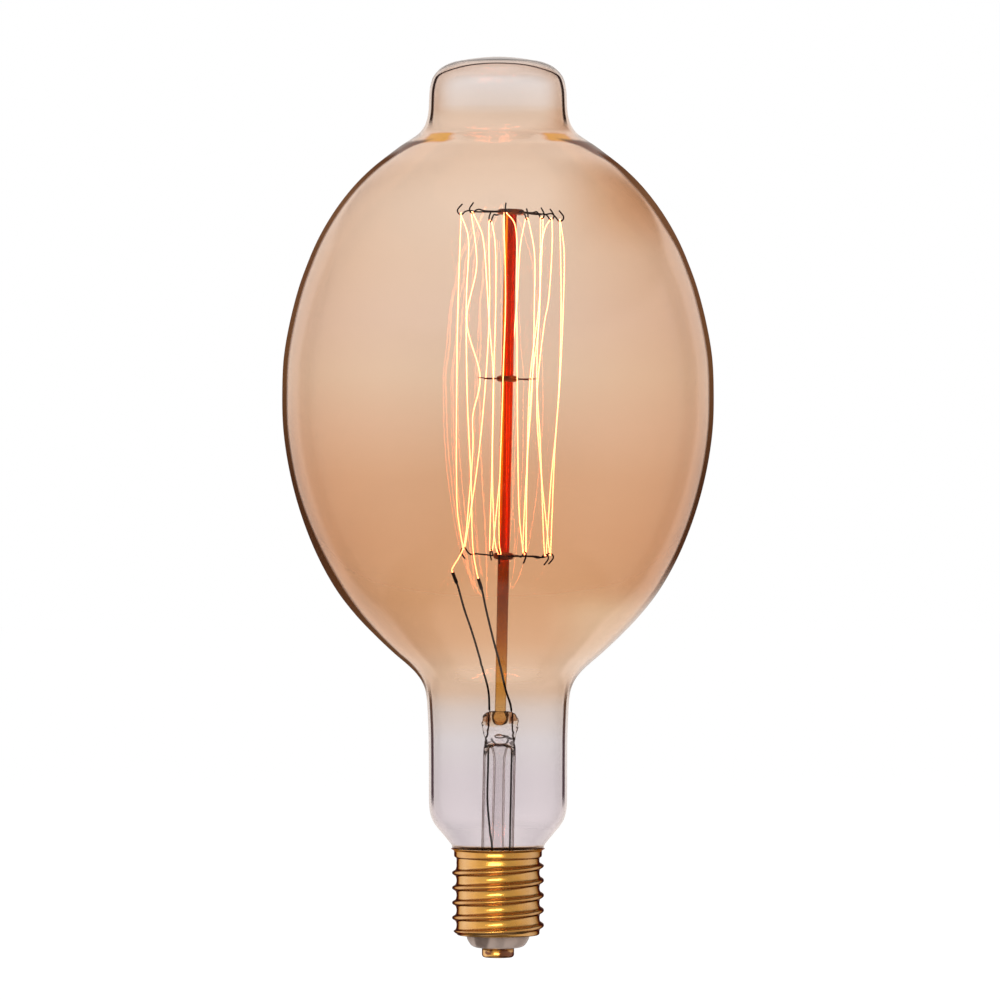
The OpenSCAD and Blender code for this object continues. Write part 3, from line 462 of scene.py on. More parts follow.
rodStreak = {  # the filament lights its left side
    "glow": (0.75, 0.34, 0.0), "across": ((-2.3, -1.8), (-1.4, -1.0)),
    "z": (176, 190), "deep": (0.10, 0.02, 0.01),
}


def makeRodGlass():
    material, work, place = newMaterial("rodGlass")
    x, y, z = work.axes(place)
    patches = work.noise(place, 40, 2, (1, 1, 0.2)) - 0.5
    colour, glow = work.byHeight(z + patches * 10, rodGlassLook)
    across = x - (z - stem["footZ"]) * leanSin + stem["shift"] + patches
    streak = (work.within(across, *rodStreak["across"]) * work.share(z, *rodStreak["z"])
              * work.share(patches, -0.25, 0.1))
    # the emission is painted light: the filament's glow seen in the rod
    work.close(work.principled(
        Roughness=0.03, IOR=1.5, TransmissionWeight=1.0, EmissionStrength=1.0,
        BaseColor=work.stain(colour, work.facing() ** 2, rodStreak["deep"]),
        EmissionColor=work.blend(streak, glow, rodStreak["glow"])))
    return material


beadLook = [(0.3, (0.05, 0.012, 0.006)), (0.55, (0.22, 0.05, 0.01)), (0.75, (0.5, 0.16, 0.02))]


def makeBeadGlass():
    material, work, place = newMaterial("beadGlass")
    patches = work.noise(place, 260)
    work.close(work.principled(Roughness=0.15, IOR=1.5, TransmissionWeight=0.2,
                               BaseColor=work.ramp(patches, beadLook),
                               Normal=work.bump(patches, 0.3, 0.0005)))
    return material


glowLook = {"dull": (1.0, 0.22, 0.12), "bright": (1.0, 0.32, 0.16), "edge": (0.30, 0.075, 0.004),
            "strength": 20.0, "metal": (0.2, 0.15, 0.1)}


def makeFilamentGlow():  # each turn is palest where it faces out, and orange along its edges
    material, work, place = newMaterial("filamentGlow")
    pale = work.blend(work.noise(place, 90, 2, (1, 1, 0.25)), glowLook["dull"], glowLook["bright"])
    glow = work.blend(work.share(work.facing(), 0.25, 0.8), pale, glowLook["edge"])
    work.close(work.principled(BaseColor=glowLook["metal"], Roughness=0.5, Metallic=1.0,
                               EmissionStrength=glowLook["strength"], EmissionColor=glow))
    return material


def makeWire(name, dark, light, metallic):
    material, work, place = newMaterial(name)
    scale = work.noise(place, 700, 3)
    work.close(work.principled(
        Metallic=metallic, SpecularIORLevel=0.06, BaseColor=work.blend(scale, dark, light),
        Roughness=0.45 + scale * 0.15, Normal=work.bump(work.noise(place, 1800), 0.25, 0.0003)))
    return material


brassLook = {
    "facing": {  # painted reflection and shade, by how far the surface turns away: 0 faces the viewer
        0: (0.80, 0.40, 0.05), 0.12: (0.78, 0.38, 0.06), 0.4: (0.79, 0.46, 0.18),
        0.62: (0.78, 0.48, 0.21), 0.72: (0.25, 0.11, 0.04), 0.77: (0.02, 0.008, 0.004),
        0.85: (0.03, 0.012, 0.006), 0.93: (0.35, 0.18, 0.09)},
    "lipZ": (44.9, 45.5), "lip": 0.6,  # the rim turns away from the viewer, but keeps its bright painted reflection all the same
    # painted shade: the thread's crests are darker
    "crestR": (18.0, 19.3), "crest": (0.74, 0.64, 0.60), "crestShare": 0.55,
    "stain": (0.85, 0.74, 0.6), "stainEdge": (0.35, 0.75), "stainShare": 0.5,
    "blot": (0.22, 0.10, 0.06), "blotEdge": (0.46, 0.58),
    "grazing": (0.3, 0.16, 0.10), "coat": 0.9, "coatFades": 0.88, "coatFacing": (0.35, 0.7),
}


def makeBrass(name, tarnish):
    material, work, place = newMaterial(name)
    x, y, z = work.axes(place)
    facing = work.facing()
    lip = work.share(z, *brassLook["lipZ"])
    # painted reflection and shade: the colour changes as the surface turns away from the viewer
    colour = work.ramp(facing * (1 - lip * brassLook["lip"]), sorted(brassLook["facing"].items()))
    # painted shade on the crests
    crest = work.share((x * x + y * y) ** 0.5, *brassLook["crestR"])
    colour = work.stain(colour, crest * brassLook["crestShare"], brassLook["crest"])
    stain = work.share(work.noise(place, 130, 3, (1, 1, 2.2)), *brassLook["stainEdge"])
    colour = work.stain(colour, stain * brassLook["stainShare"], brassLook["stain"])
    blots = work.share(work.noise(place, 210, 2, (1, 1, 1.6)), *brassLook["blotEdge"]) * tarnish
    colour = work.stain(colour, blots, brassLook["blot"])
    lines = work.noise(place, 240, 2, (1, 1, 9))
    work.close(work.principled(
        Metallic=1.0, CoatRoughness=0.12, CoatIOR=1.5, SpecularTint=brassLook["grazing"], BaseColor=colour,
        CoatWeight=brassLook["coat"] - work.share(facing, *brassLook["coatFacing"]) * brassLook["coatFades"],
        Roughness=0.2 + stain * 0.07 + lines * 0.05, Normal=work.bump(lines, 0.06, 0.0004)))
    return material


capGlassLook = {
    "light": rgb(214, 190, 176), "dark": rgb(190, 167, 154), "edge": (0.35, 0.28, 0.26),
    # the stem behind darkens a slanting band
    "shadow": (0.42, 0.38, 0.36), "shadowLeft": (-8.8, -7.8), "shadowRight": (-6.6, -5.0),
}


def makeCapGlass():
    material, work, place = newMaterial("capGlass")
    x, y, z = work.axes(place)
    streaks = work.share(work.noise(place, 150, 2, (1, 1, 0.12)), 0.4, 0.62)
    shadow = (work.share(x + z * 0.2, *capGlassLook["shadowLeft"])
              * (1 - work.share(x - z * 0.25, *capGlassLook["shadowRight"])))
    colour = work.stain(work.blend(streaks, capGlassLook["light"], capGlassLook["dark"]), shadow,
                        capGlassLook["shadow"])
    # painted shade where the surface turns edge-on
    colour = work.stain(colour, work.share(work.facing(), 0.75, 0.95), capGlassLook["edge"])
    work.close(work.principled(Roughness=0.38, IOR=1.5, TransmissionWeight=0.15, BaseColor=colour,
                               Normal=work.bump(streaks, 0.1, 0.0005)))
    return material


def makeGrainy(name, grain, dark, light, relief, **fixed):  # solder and cement
    material, work, place = newMaterial(name)
    grain = work.noise(place, *grain)
    roughness = fixed["Roughness"] if "Roughness" in fixed else 0.3 + grain * 0.25
    work.close(work.principled(**{**fixed, "Roughness": roughness}, BaseColor=work.blend(grain, dark, light),
                               Normal=work.bump(grain, *relief)))
    return material


amberGlass = makeAmberGlass()
stemGlass = makeStemGlass()
rodGlass = makeRodGlass()
beadGlass = makeBeadGlass()
filamentGlow = makeFilamentGlow()
darkWire = makeWire("darkWire", (0.005, 0.002, 0.002), (0.026, 0.012, 0.010), 0.0)
fineWire = makeWire("fineWire", (0.04, 0.012, 0.008), (0.12, 0.04, 0.022), 0.3)
sealWire = makeWire("sealWire", (0.05, 0.018, 0.010), (0.14, 0.055, 0.03), 0.3)
leadWire = makeWire("leadWire", (0.003, 0.002, 0.002), (0.016, 0.010, 0.010), 0.0)
brass = makeBrass("brass", 0.0)
contactBrass = makeBrass("contactBrass", 0.95)
capGlass = makeCapGlass()
solder = makeGrainy("solder", (500, 4), (0.42, 0.41, 0.39), (0.68, 0.67, 0.64), (0.4, 0.0005), Metallic=1.0)
cement = makeGrainy("cement", (900, 5), (0.52, 0.48, 0.42), (0.74, 0.70, 0.63), (0.5, 0.0006), Roughness=0.9)
print("materials made")


# shapes, in mm

def onStem(point):  # from the stem's own upright axis to the lamp
    x, y, z = point
    rise = z - stem["footZ"]
    return (x * leanCos + rise * leanSin - stem["shift"], y, stem["footZ"] - x * leanSin + rise * leanCos)


def throughPoints(points, step):  # a smooth line through points, one point each step
    given = np.array(points, float)
    steps = np.linalg.norm(np.diff(given, axis=0), axis=1)
    along = np.concatenate([[0], np.cumsum(np.sqrt(steps))])
    count = len(given)
    slopes = np.zeros_like(given)
    if count > 2:
        gaps = np.diff(along)[:, None]
        rates = np.diff(given, axis=0) / gaps
        slopes[1:-1] = (rates[:-1] * gaps[1:] + rates[1:] * gaps[:-1]) / (gaps[1:] + gaps[:-1])
        slopes[0], slopes[-1] = rates[0], rates[-1]
    else:
        slopes[:] = (given[1] - given[0]) / (along[1] - along[0])
    line = []
    for i in range(count - 1):
        gap = along[i + 1] - along[i]
        parts = max(1, int(math.ceil(steps[i] / step)))
        for k in range(parts):
            t = k / parts
            line.append((2 * t**3 - 3 * t**2 + 1) * given[i] + (t**3 - 2 * t**2 + t) * gap * slopes[i]
                        + (3 * t**2 - 2 * t**3) * given[i + 1] + (t**3 - t**2) * gap * slopes[i + 1])
    line.append(given[-1])
    return np.array(line)


def addPiece(name, mesh, material, nodes):
    mesh.materials.clear()
    mesh.materials.append(material)
    piece = bpy.data.objects.new(name, mesh)
    scene.collection.objects.link(piece)
    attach(piece, "root")
    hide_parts(*nodes)


def newMesh(name, points, faces):
    mesh = bpy.data.meshes.new(name)
    mesh.from_pydata([tuple(c * mm for c in p) for p in points], [], faces)
    mesh.polygons.foreach_set("use_smooth", [len(face) <= 4 for face in faces])  # a broad end face stays flat
    return mesh


def ringMesh(name, shells, closed=False, capEnds=False):  # each shell is a list of rings of points
    points, faces = [], []
    for rings in shells:
        first, count, around = len(points), len(rings), len(rings[0])
        points += [p for ring in rings for p in ring]
        for i in range(count if closed else count - 1):
            low, high = first + i * around, first + (i + 1) % count * around
            for k in range(around):
                n = (k + 1) % around
                faces.append((low + k, low + n, high + n, high + k))
        if capEnds:
            faces.append(list(range(first + around - 1, first - 1, -1)))
            faces.append(list(range(first + (count - 1) * around, first + count * around)))
    return newMesh(name, points, faces)


def lathe(name, profile, around, place=None):  # radius and z, down the outside and up the inside
    points, rows = [], []
    for r, z in profile:
        if r < 1e-6:
            rows.append([len(points)] * around)
            points.append((0, 0, z))
        else:
            rows.append(list(range(len(points), len(points) + around)))
            points += [(r * math.cos(a), r * math.sin(a), z) for a in roundTurns(around)]
    loops = list(zip(rows, rows[1:]))
    if profile[0][0] > 1e-6:  # a ring closes on itself
        loops.append((rows[-1], rows[0]))
    faces = []
    for upper, lower in loops:
        for k in range(around):
            n = (k + 1) % around
            face = list(dict.fromkeys((lower[k], lower[n], upper[n], upper[k])))
            if len(face) > 2:
                faces.append(face)
    return newMesh(name, [place(p) for p in points] if place else points, faces)


bulb = {
    # radius and z, from the top of the knob down to the cap; the seat is the tube inside it
    "outline": [(0, 382.52), (5.0, 382.36), (9.99, 381.82), (15.2, 381.0), (20.03, 379.95), (23.2, 378.5),
                (25.23, 377.0), (26.9, 375.1), (27.93, 373.3), (29.0, 369.0), (29.3, 364.5), (29.45, 361.0),
                (29.85, 357.6), (31.03, 353.68), (33.47, 350.18), (37.52, 347.22), (41.98, 344.23),
                (45.68, 341.42), (53.59, 335.14), (60.78, 328.07), (67.13, 320.26), (72.68, 311.87),
                (77.42, 303.0), (81.32, 293.73), (84.7, 284.18), (88.4, 269.89), (90.97, 255.05),
                (91.66, 240.01), (91.25, 224.91), (89.22, 209.95), (85.73, 194.95), (80.73, 180.0),
                (74.83, 166.81), (67.87, 154.97), (60.0, 144.96), (51.85, 136.47), (43.8, 128.9),
                (38.68, 124.55), (35.08, 121.04), (32.52, 117.53), (30.99, 113.86), (30.32, 109.87),
                (29.96, 105.15), (29.55, 95.0), (29.42, 82.0), (29.40, 70.0), (29.30, 65.0), (28.9, 61.5),
                (27.9, 58.4), (26.2, 55.6), (24.0, 53.0), (21.4, 49.8), (19.7, 47.6)],
    "seat": [(19.55, 46.85), (19.2, 46.55), (18.4, 46.42), (17.3, 46.2), (16.5, 45.4), (16.3, 44.2),
             (16.3, 38.0), (16.3, 28.0)],
    # how thick the glass is at each height
    "walls": {28: 1.0, 44: 0.5, 48: 0.5, 56: 1.0, 95: 1.1, 125: 0.85, 240: 0.7, 330: 0.8,
              350: 1.05, 370: 1.05, 377: 1.2, 383: 1.4},
    "around": 144, "step": 1.4,
}


def bulbProfile():
    outer = throughPoints(bulb["outline"] + bulb["seat"], bulb["step"])
    ways = np.gradient(outer, axis=0)
    ways /= np.linalg.norm(ways, axis=1)[:, None]
    normals = np.stack([-ways[:, 1], ways[:, 0]], axis=1)  # outwards
    normals[0] = (0, 1)
    heights = sorted(bulb["walls"])
    thick = np.interp(outer[:, 1], heights, [bulb["walls"][h] for h in heights])
    inner = outer - normals * thick[:, None]
    inner[0][0] = 0
    inner[:, 0] = np.maximum(inner[:, 0], 0)
    return [tuple(p) for p in outer], [tuple(p) for p in inner[::-1]]


outerLine, innerLine = bulbProfile()
bulbMesh = lathe("bulbGlass", outerLine + innerLine, bulb["around"])
innerWall = np.zeros(len(bulbMesh.vertices))
innerWall[-(len(innerLine) - 1) * bulb["around"] - 1:] = 1  # the inner line ends in one point on the axis
bulbMesh.attributes.new("innerWall", "FLOAT", "POINT").data.foreach_set("value", innerWall)
addPiece("bulbGlass", bulbMesh, amberGlass, ["bulb_glass"])
print("bulb made")


# stem

stemSizes = {
    "r": 6.9, "wall": 0.6, "tubeR": 16.3, "gap": 1.3, "around": 72,
    # the tube's closed end: height, half width, half depth, squareness
    "pinch": [(80, 6.9, 6.9, 2.0), (85.5, 6.9, 6.85, 2.0), (87.6, 6.88, 6.6, 2.05), (89.3, 6.75, 6.0, 2.1),
              (90.6, 6.52, 5.3, 2.2), (91.8, 6.38, 4.75, 2.35), (93.2, 6.5, 4.3, 2.5),
              (94.8, 6.95, 3.95, 2.7), (96.4, 7.4, 3.7, 2.9), (98.2, 7.68, 3.6, 3.0),
              (100.2, 7.75, 3.6, 3.0), (101.6, 7.5, 3.6, 2.8), (102.8, 6.9, 3.5, 2.6),
              (103.7, 5.95, 3.3, 2.3), (104.25, 4.6, 2.8, 2.1), (104.5, 2.9, 1.9, 2.0),
              (104.55, 0.9, 0.7, 2.0)],
    # the hollow inside it, from its top down
    "hollow": [(90.75, 0.3, 0.3, 2.0), (90.7, 1.8, 1.7, 2.0), (90.3, 3.4, 3.1, 2.0), (89.3, 4.7, 4.2, 2.0),
               (87.8, 5.5, 5.0, 2.0), (86, 6.1, 5.95, 2.0), (83.5, 6.3, 6.3, 2.0), (70, 6.3, 6.3, 2.0),
               (50, 6.3, 6.3, 2.0)],
    "lump": 0.16,  # the pressed end is uneven
}


def squareRing(height, halfWidth, halfDepth, squareness, lump=0.0):
    ring = []
    for a in roundTurns(stemSizes["around"]):
        c, s = math.cos(a), math.sin(a)
        wave = (1 + lump * (math.sin(3 * a + height * 1.7) * 0.5
                            + math.sin(5 * a - height * 2.3 + 1) * 0.3) * 0.25)
        x = halfWidth * wave * math.copysign(abs(c) ** (2 / squareness), c)
        y = halfDepth * wave * math.copysign(abs(s) ** (2 / squareness), s)
        ring.append(onStem((x, y, height + lump * math.sin(4 * a + height) * 0.6)))
    return ring


def stemRings():
    bendR = stemSizes["tubeR"] - stemSizes["gap"] - stemSizes["r"]
    bendX, bendZ = stemSizes["r"] + bendR, stem["footZ"] + bendR

    def bend(r, turn):
        return [(bendZ + r * math.sin(a), bendX + r * math.cos(a), bendX + r * math.cos(a), 2.0)
                for a in turn]

    turn = np.radians(np.linspace(-180, -90, 15))
    inside = list(throughPoints(stemSizes["hollow"], 0.5)) + bend(bendR + stemSizes["wall"], turn)
    outside = bend(bendR, turn[::-1]) + [(h, stemSizes["r"], stemSizes["r"], 2.0) for h in (50, 65)]
    outside += list(throughPoints(stemSizes["pinch"], 0.35))
    rings = [squareRing(*ring) for ring in inside]
    low, high = stemSizes["pinch"][2][0], stemSizes["pinch"][-1][0]
    for ring in outside:
        share = min(1, max(0, (ring[0] - low) / 6)) * min(1, max(0, (high - ring[0]) / 1.5))
        rings.append(squareRing(*ring, lump=stemSizes["lump"] * share))
    return rings


bubble = {"z": 93.6, "halfWidth": 2.3, "halfDepth": 1.6, "halfHeight": 1.15, "rings": 12, "around": 32}


def bubbleRings():  # a hollow in the pinch, so its faces look inwards
    rings = []
    for a in np.radians(np.linspace(80, -80, bubble["rings"])):
        wide, deep = bubble["halfWidth"] * math.cos(a), bubble["halfDepth"] * math.cos(a)
        height = bubble["z"] + bubble["halfHeight"] * math.sin(a)
        rings.append([onStem((wide * math.cos(t), deep * math.sin(t), height))
                      for t in roundTurns(bubble["around"])])
    return rings


stemMesh = ringMesh("stemTube", [stemRings(), bubbleRings()], capEnds=True)
addPiece("stemTube", stemMesh, stemGlass, ["stem_flare", "pinch_seal"])

exhaust = {"r": 2.6, "wall": 0.8, "funnelR": 4.1, "tipZ": 21.0, "topZ": 90.0}


def exhaustProfile():
    r, w, top, tip = exhaust["r"], exhaust["wall"], exhaust["topZ"], exhaust["tipZ"]
    outer = throughPoints([
        (exhaust["funnelR"], top), (r * 1.32, top - 1.1), (r * 1.12, top - 2.4), (r, top - 4.5),
        (r, top - 30), (r, tip + 4), (r * 0.85, tip + 2), (r * 0.45, tip + 0.6), (0, tip)], 0.8)
    inner = throughPoints([
        (0, tip + 2.4), (r - w, tip + 4.4), (r - w, top - 30), (r - w, top - 4.7),
        (r * 1.12 - w, top - 2.6), (r * 1.32 - w, top - 1.3), (exhaust["funnelR"] - w, top)], 0.8)
    outer[-1][0] = inner[0][0] = 0
    return [tuple(p) for p in outer] + [tuple(p) for p in inner]


addPiece("exhaustTube", lathe("exhaustTube", exhaustProfile(), 48, onStem), stemGlass,
         ["exhaust_tube"])

rodSizes = {
    "footZ": 104.4, "topZ": 315.5, "footR": 2.4, "topR": 2.6, "rings": 110, "flat": 0.82,
    "melted": [(2.62, 104.0), (3.05, 103.3), (3.35, 102.3), (3.4, 101.2),
               (3.15, 100.1), (2.4, 99.2), (1.2, 98.7), (0, 98.6)],
}


def rodProfile():
    foot, top = rodSizes["footZ"], rodSizes["topZ"]
    line = [(0, top)]
    for z in np.linspace(top, foot, rodSizes["rings"]):
        r = rodSizes["footR"] + (rodSizes["topR"] - rodSizes["footR"]) * (z - foot) / (top - foot)
        line.append((r + 0.03 * math.sin(z * 0.21) + 0.02 * math.sin(z * 0.53 + 1), z))  # a little uneven
    return line + rodSizes["melted"]


def inPinch(point):  # the melted foot is pressed flatter than it is wide
    x, y, z = point
    return onStem((x, y * (rodSizes["flat"] if z < rodSizes["footZ"] else 1), z))


addPiece("centreRod", lathe("centreRod", rodProfile(), 48, inPinch), rodGlass, ["centre_rod"])

discs = {
    "topButton": {"node": "top_button", "z": 316.75, "r": 5.85, "h": 2.5, "bore": 0},
    "middleCollar": {"node": "middle_collar", "z": 245.9, "r": 4.65, "h": 2.7, "bore": 2.6},
    "lowerCollar": {"node": "lower_collar", "z": 170.5, "r": 4.5, "h": 3.1, "bore": 2.52},
}


def discProfile(size):
    half, z, bore = size["h"] / 2, size["z"], size["bore"]
    edge = [(size["r"] - half + half * math.cos(a), z + half * math.sin(a))
            for a in np.radians(np.linspace(90, -90, 13))]
    crown = 1 if bore else 1.05
    return [(bore, z + half * crown)] + edge + [(bore, z - half)]


for name, size in discs.items():
    addPiece(name, lathe(name, discProfile(size), 64, onStem), beadGlass, [size["node"]])
print("stem, rod and discs made")


# wires: one Geometry Nodes tree sweeps a round wire along a line, another winds a coil round it

def newTree(name, sizes):
    tree = bpy.data.node_groups.new(name, "GeometryNodeTree")
    tree.interface.new_socket("Geometry", in_out="INPUT", socket_type="NodeSocketGeometry")
    for key, value in sizes.items():
        kind = "NodeSocketInt" if isinstance(value, int) else "NodeSocketFloat"
        tree.interface.new_socket(key, in_out="INPUT", socket_type=kind).default_value = value
    tree.interface.new_socket("Material", in_out="INPUT", socket_type="NodeSocketMaterial")
    tree.interface.new_socket("Geometry", in_out="OUTPUT", socket_type="NodeSocketGeometry")
    work = NodeWork(tree)
    return tree, work, work.node("NodeGroupInput", out="Geometry")


def closeTree(work, source, curve):  # a round section along the curve
    ring = work.node("GeometryNodeCurvePrimitiveCircle", {"mode": "RADIUS"},
                     {"Resolution": source.out("Sides"), "Radius": source.out("Wire Radius")})
    swept = work.node("GeometryNodeCurveToMesh",
                      inputs={"Curve": curve, "Profile Curve": ring, "Fill Caps": True})
    smooth = work.node("GeometryNodeSetShadeSmooth", inputs={"Geometry": swept})
    painted = work.node("GeometryNodeSetMaterial",
                        inputs={"Geometry": smooth, "Material": source.out("Material")})
    real = work.node("GeometryNodeRealizeInstances", inputs={"Geometry": painted})
    work.node("NodeGroupOutput", inputs={"Geometry": real})


def makeWireTree():
    tree, work, source = newTree("roundWire", {"Wire Radius": 0.35 * mm, "Sides": 10})
    closeTree(work, source, source)
    return tree


def makeCoilTree():
    tree, work, source = newTree("woundCoil", {
        "Coil Radius": 0.2 * mm, "Pitch": 0.6 * mm, "Steps Per Turn": 6.0, "Wire Radius": 0.08 * mm,
        "Sides": 3})

    def vector(operation, first, second, key=1):
        return work.node("ShaderNodeVectorMath", {"operation": operation}, {0: first, key: second})

    fine = work.node("GeometryNodeResampleCurve", {"mode": "LENGTH"},
                     {"Curve": source, "Length": source.out("Pitch") / source.out("Steps Per Turn")})
    angle = work.node("GeometryNodeSplineParameter", out="Length") / source.out("Pitch") * (2 * math.pi)
    side = work.node("GeometryNodeInputNormal")
    other = vector("CROSS_PRODUCT", work.node("GeometryNodeInputTangent"), side)
    first = vector("SCALE", side, work.maths("COSINE", angle) * source.out("Coil Radius"), "Scale")
    second = vector("SCALE", other, work.maths("SINE", angle) * source.out("Coil Radius"), "Scale")
    wound = work.node("GeometryNodeSetPosition",
                      inputs={"Geometry": fine, "Offset": vector("ADD", first, second)})
    closeTree(work, source, wound)
    return tree


wireTree = makeWireTree()
coilTree = makeCoilTree()


def alongLines(name, tree, lines, sizes, material, nodes):
    curve = bpy.data.curves.new(name + "Line", "CURVE")
    curve.dimensions = "3D"
    for line in lines:
        spline = curve.splines.new("POLY")
        spline.points.add(len(line) - 1)
        spline.points.foreach_set("co", [c for p in line for c in (p[0] * mm, p[1] * mm, p[2] * mm, 1)])
    source = bpy.data.objects.new(name + "Line", curve)
    scene.collection.objects.link(source)
    modifier = source.modifiers.new("sweep", "NODES")
    modifier.node_group = tree
    given = {**sizes, "Material": material}
    for item in tree.interface.items_tree:
        if item.item_type == "SOCKET" and item.in_out == "INPUT" and item.name in given:
            modifier[item.identifier] = given[item.name]
    evaluated = source.evaluated_get(bpy.context.evaluated_depsgraph_get())
    mesh = bpy.data.meshes.new_from_object(evaluated)
    mesh.name = name
    bpy.data.objects.remove(source)
    addPiece(name, mesh, material, nodes)


def outwards(bearing):
    return np.array([math.sin(math.radians(bearing)), -math.cos(math.radians(bearing)), 0])


def besides(bearing):
    return np.array([math.cos(math.radians(bearing)), math.sin(math.radians(bearing)), 0])


hooks = {
    "top": {"z": 316.75, "discR": 5.95, "reach": 21.3, "side": 1,
            # bearing, and how far the hook is bent towards the filament's middle
            "places": [(310, 1.5), (354, 1.8), (38, 3.3), (80, 3.6),
                       (126, 2.2), (161, 1.9), (204, 3.3), (265, 1.3)]},
    "lower": {"z": 170.5, "discR": 4.6, "reach": 20.8, "side": -1,
              "places": [(355, 1.4), (25, 2.1), (58, 1.2), (108, 1.4), (155, 1.3), (195, 2.5), (235, 3)]},
    "curlR": 1.5, "hump": 0.9, "wireR": 0.33,
}


def hookLine(start, reach, drop):
    r, hump = hooks["curlR"], hooks["hump"]
    line = [(start - 1.2, 0), (start, 0), (reach - 4.2 * r, hump / 3 - drop * 0.3),
            (reach - 2.4 * r, hump - drop * 0.4)]
    line += [(reach + r * math.cos(a), r - drop + r * math.sin(a))
             for a in np.radians(np.linspace(200, 400, 9))]
    return line + [(reach - 0.4 * r, 3 * r - drop)]


for level in ("top", "lower"):
    ring = hooks[level]
    for number, (bearing, drop) in enumerate(ring["places"], 1):
        flat = hookLine(ring["discR"], ring["reach"], drop)
        line = [onStem(r * outwards(bearing) + (0, 0, ring["z"] + ring["side"] * h)) for r, h in flat]
        alongLines(f"{level}Hook{number}", wireTree, [throughPoints(line, 0.35)],
                   {"Wire Radius": hooks["wireR"] * mm, "Sides": 10}, darkWire,
                   [f"{level}_hook_{number}"])

middleWires = {"z": 245.9, "discR": 4.75, "reach": 15, "wireR": 0.2,
               "clear": 0.62, "bearings": [309, 51, 145, 218]}
for number, bearing in enumerate(middleWires["bearings"], 1):
    reach, clear = middleWires["reach"], middleWires["clear"]
    flat = [(middleWires["discR"] - 1, 0), (middleWires["discR"], 0), (reach - 2.5, 0), (reach - 1, clear)]
    flat += [(reach + clear * math.cos(a), clear * math.sin(a)) for a in np.radians(np.linspace(90, -30, 5))]
    line = [onStem(out * outwards(bearing) + across * besides(bearing) + (0, 0, middleWires["z"]))
            for out, across in flat]
    alongLines(f"middleWire{number}", wireTree, [throughPoints(line, 0.3)],
               {"Wire Radius": middleWires["wireR"] * mm, "Sides": 8}, fineWire,
               [f"middle_wire_{number}"])
print("hooks made")

filament = {
    "wrapR": 0.62, "coilR": 0.20, "pitch": 0.60, "wireR": 0.095,
    "leftMouth": (-21.5, -4, 163.2), "leftAim": (-1.9, -0.3, 4.7),
    "rightMouth": (-10.5, -17.2, 161), "rightAim": (-1.3, -1, 3.9), "inSleeve": 1.75,
    # each strand's way in the lamp's X at heights in mm, from its top to its foot
    "strands": [
        {294: -9.0, 270: -13.2, 246: -7.6, 229.5: -10.7, 217.7: -10.6, 194.3: -12.3, 173.5: -14.9},
        {307: -6.8, 301: -5.8, 286: -4.7, 271: -3.8, 245: -1.9, 220: -2.3, 194: -2.1, 175: -1.0},
        {279: 3.2, 245: 2.1, 175: 0.6},
        {311: 6.9, 279: 7.8, 245: 8.1, 220: 8.3, 186: 9.1},
        {271: 17.4, 245: 14.4, 203: 12.1},
        {279: 17.6, 245: 16.4, 220: 17.8, 176: 19.4},
        {279: 26.8, 245: 26.0, 224: 24.6, 203: 22.5},
        {301: 28.0, 279: 27.8, 245: 26.3, 216: 24.2},
        {305: 23.2, 279: 21.5, 271: 20.0, 237: 16.6, 207: 18.3},
        {311: 20.4, 300.5: 18.3, 279: 17.6, 245: 13.6},
        {301: 15.5, 279: 15.6, 244: 14.7, 208: 12.3},
        {303.5: 9.6, 279: 8.1, 245: 5.0, 192: -0.4},
        {305: -1.3, 278.5: -1.0, 243.6: -2.0, 208.7: -2.6},
        {305: -3.9, 278.5: -3.6, 245: -5.3, 208.3: -8.9},
        {279: -17.0, 245: -17.6, 203.7: -17.7, 188: -17.2},
        {307: -12.8, 279: -13.4, 241: -13.1, 201: -11.3, 173.5: -10.5},
    ],
    "held": {0: 0, 5: 1, 9: 2, 13: 3},  # strands that a middle wire holds
}


def buildFilamentLine():
    wrap = filament["wrapR"]

    def turnsAt(level):  # where each hook holds the wire
        ring = hooks[level]
        return [(np.array(onStem(ring["reach"] * outwards(bearing)
                                 + (0, 0, ring["z"] - ring["side"] * drop))), bearing,
                 ring["side"]) for bearing, drop in ring["places"]]

    def halfTurn(turn):
        place, bearing, side = turn
        return [place + wrap * (math.sin(a) * besides(bearing) + (0, 0, side * math.cos(a)))
                for a in np.radians(np.linspace(-90, 90, 7))]

    def strand(number, upper, foot):
        ways = filament["strands"][number]
        depthZ, depthY = [foot[2], upper[2]], [foot[1], upper[1]]
        if number in filament["held"]:
            bearing = middleWires["bearings"][filament["held"][number]]
            depthZ.insert(1, middleWires["z"])
            depthY.insert(1, middleWires["reach"] * outwards(bearing)[1])
        points = [upper]
        for z in sorted(ways, reverse=True):
            points.append(np.array([ways[z], np.interp(z, depthZ, depthY), z]))
        return points + [foot]

    def mouth(place, aim):
        way = np.array(aim, float) / np.linalg.norm(aim)
        inside, lip = place - way * filament["inSleeve"], np.array(place, float)
        return [np.array(onStem(p)) for p in (inside, lip, lip + way)]

    left, right = [mouth(filament[side + "Mouth"], filament[side + "Aim"]) for side in ("left", "right")]
    tops, lows = [[halfTurn(turn) for turn in turnsAt(level)] for level in ("top", "lower")]
    path = left[:2]
    foot = left[2]
    for i, turn in enumerate(tops):
        path += strand(2 * i, turn[0], foot)[::-1]
        path += turn[1:-1]
        if i < len(lows):
            path += strand(2 * i + 1, turn[-1], lows[i][0])
            path += lows[i][1:-1]
            foot = lows[i][-1]
        else:
            path += strand(2 * i + 1, turn[-1], right[2])
    return throughPoints(path + right[1::-1], 0.8)


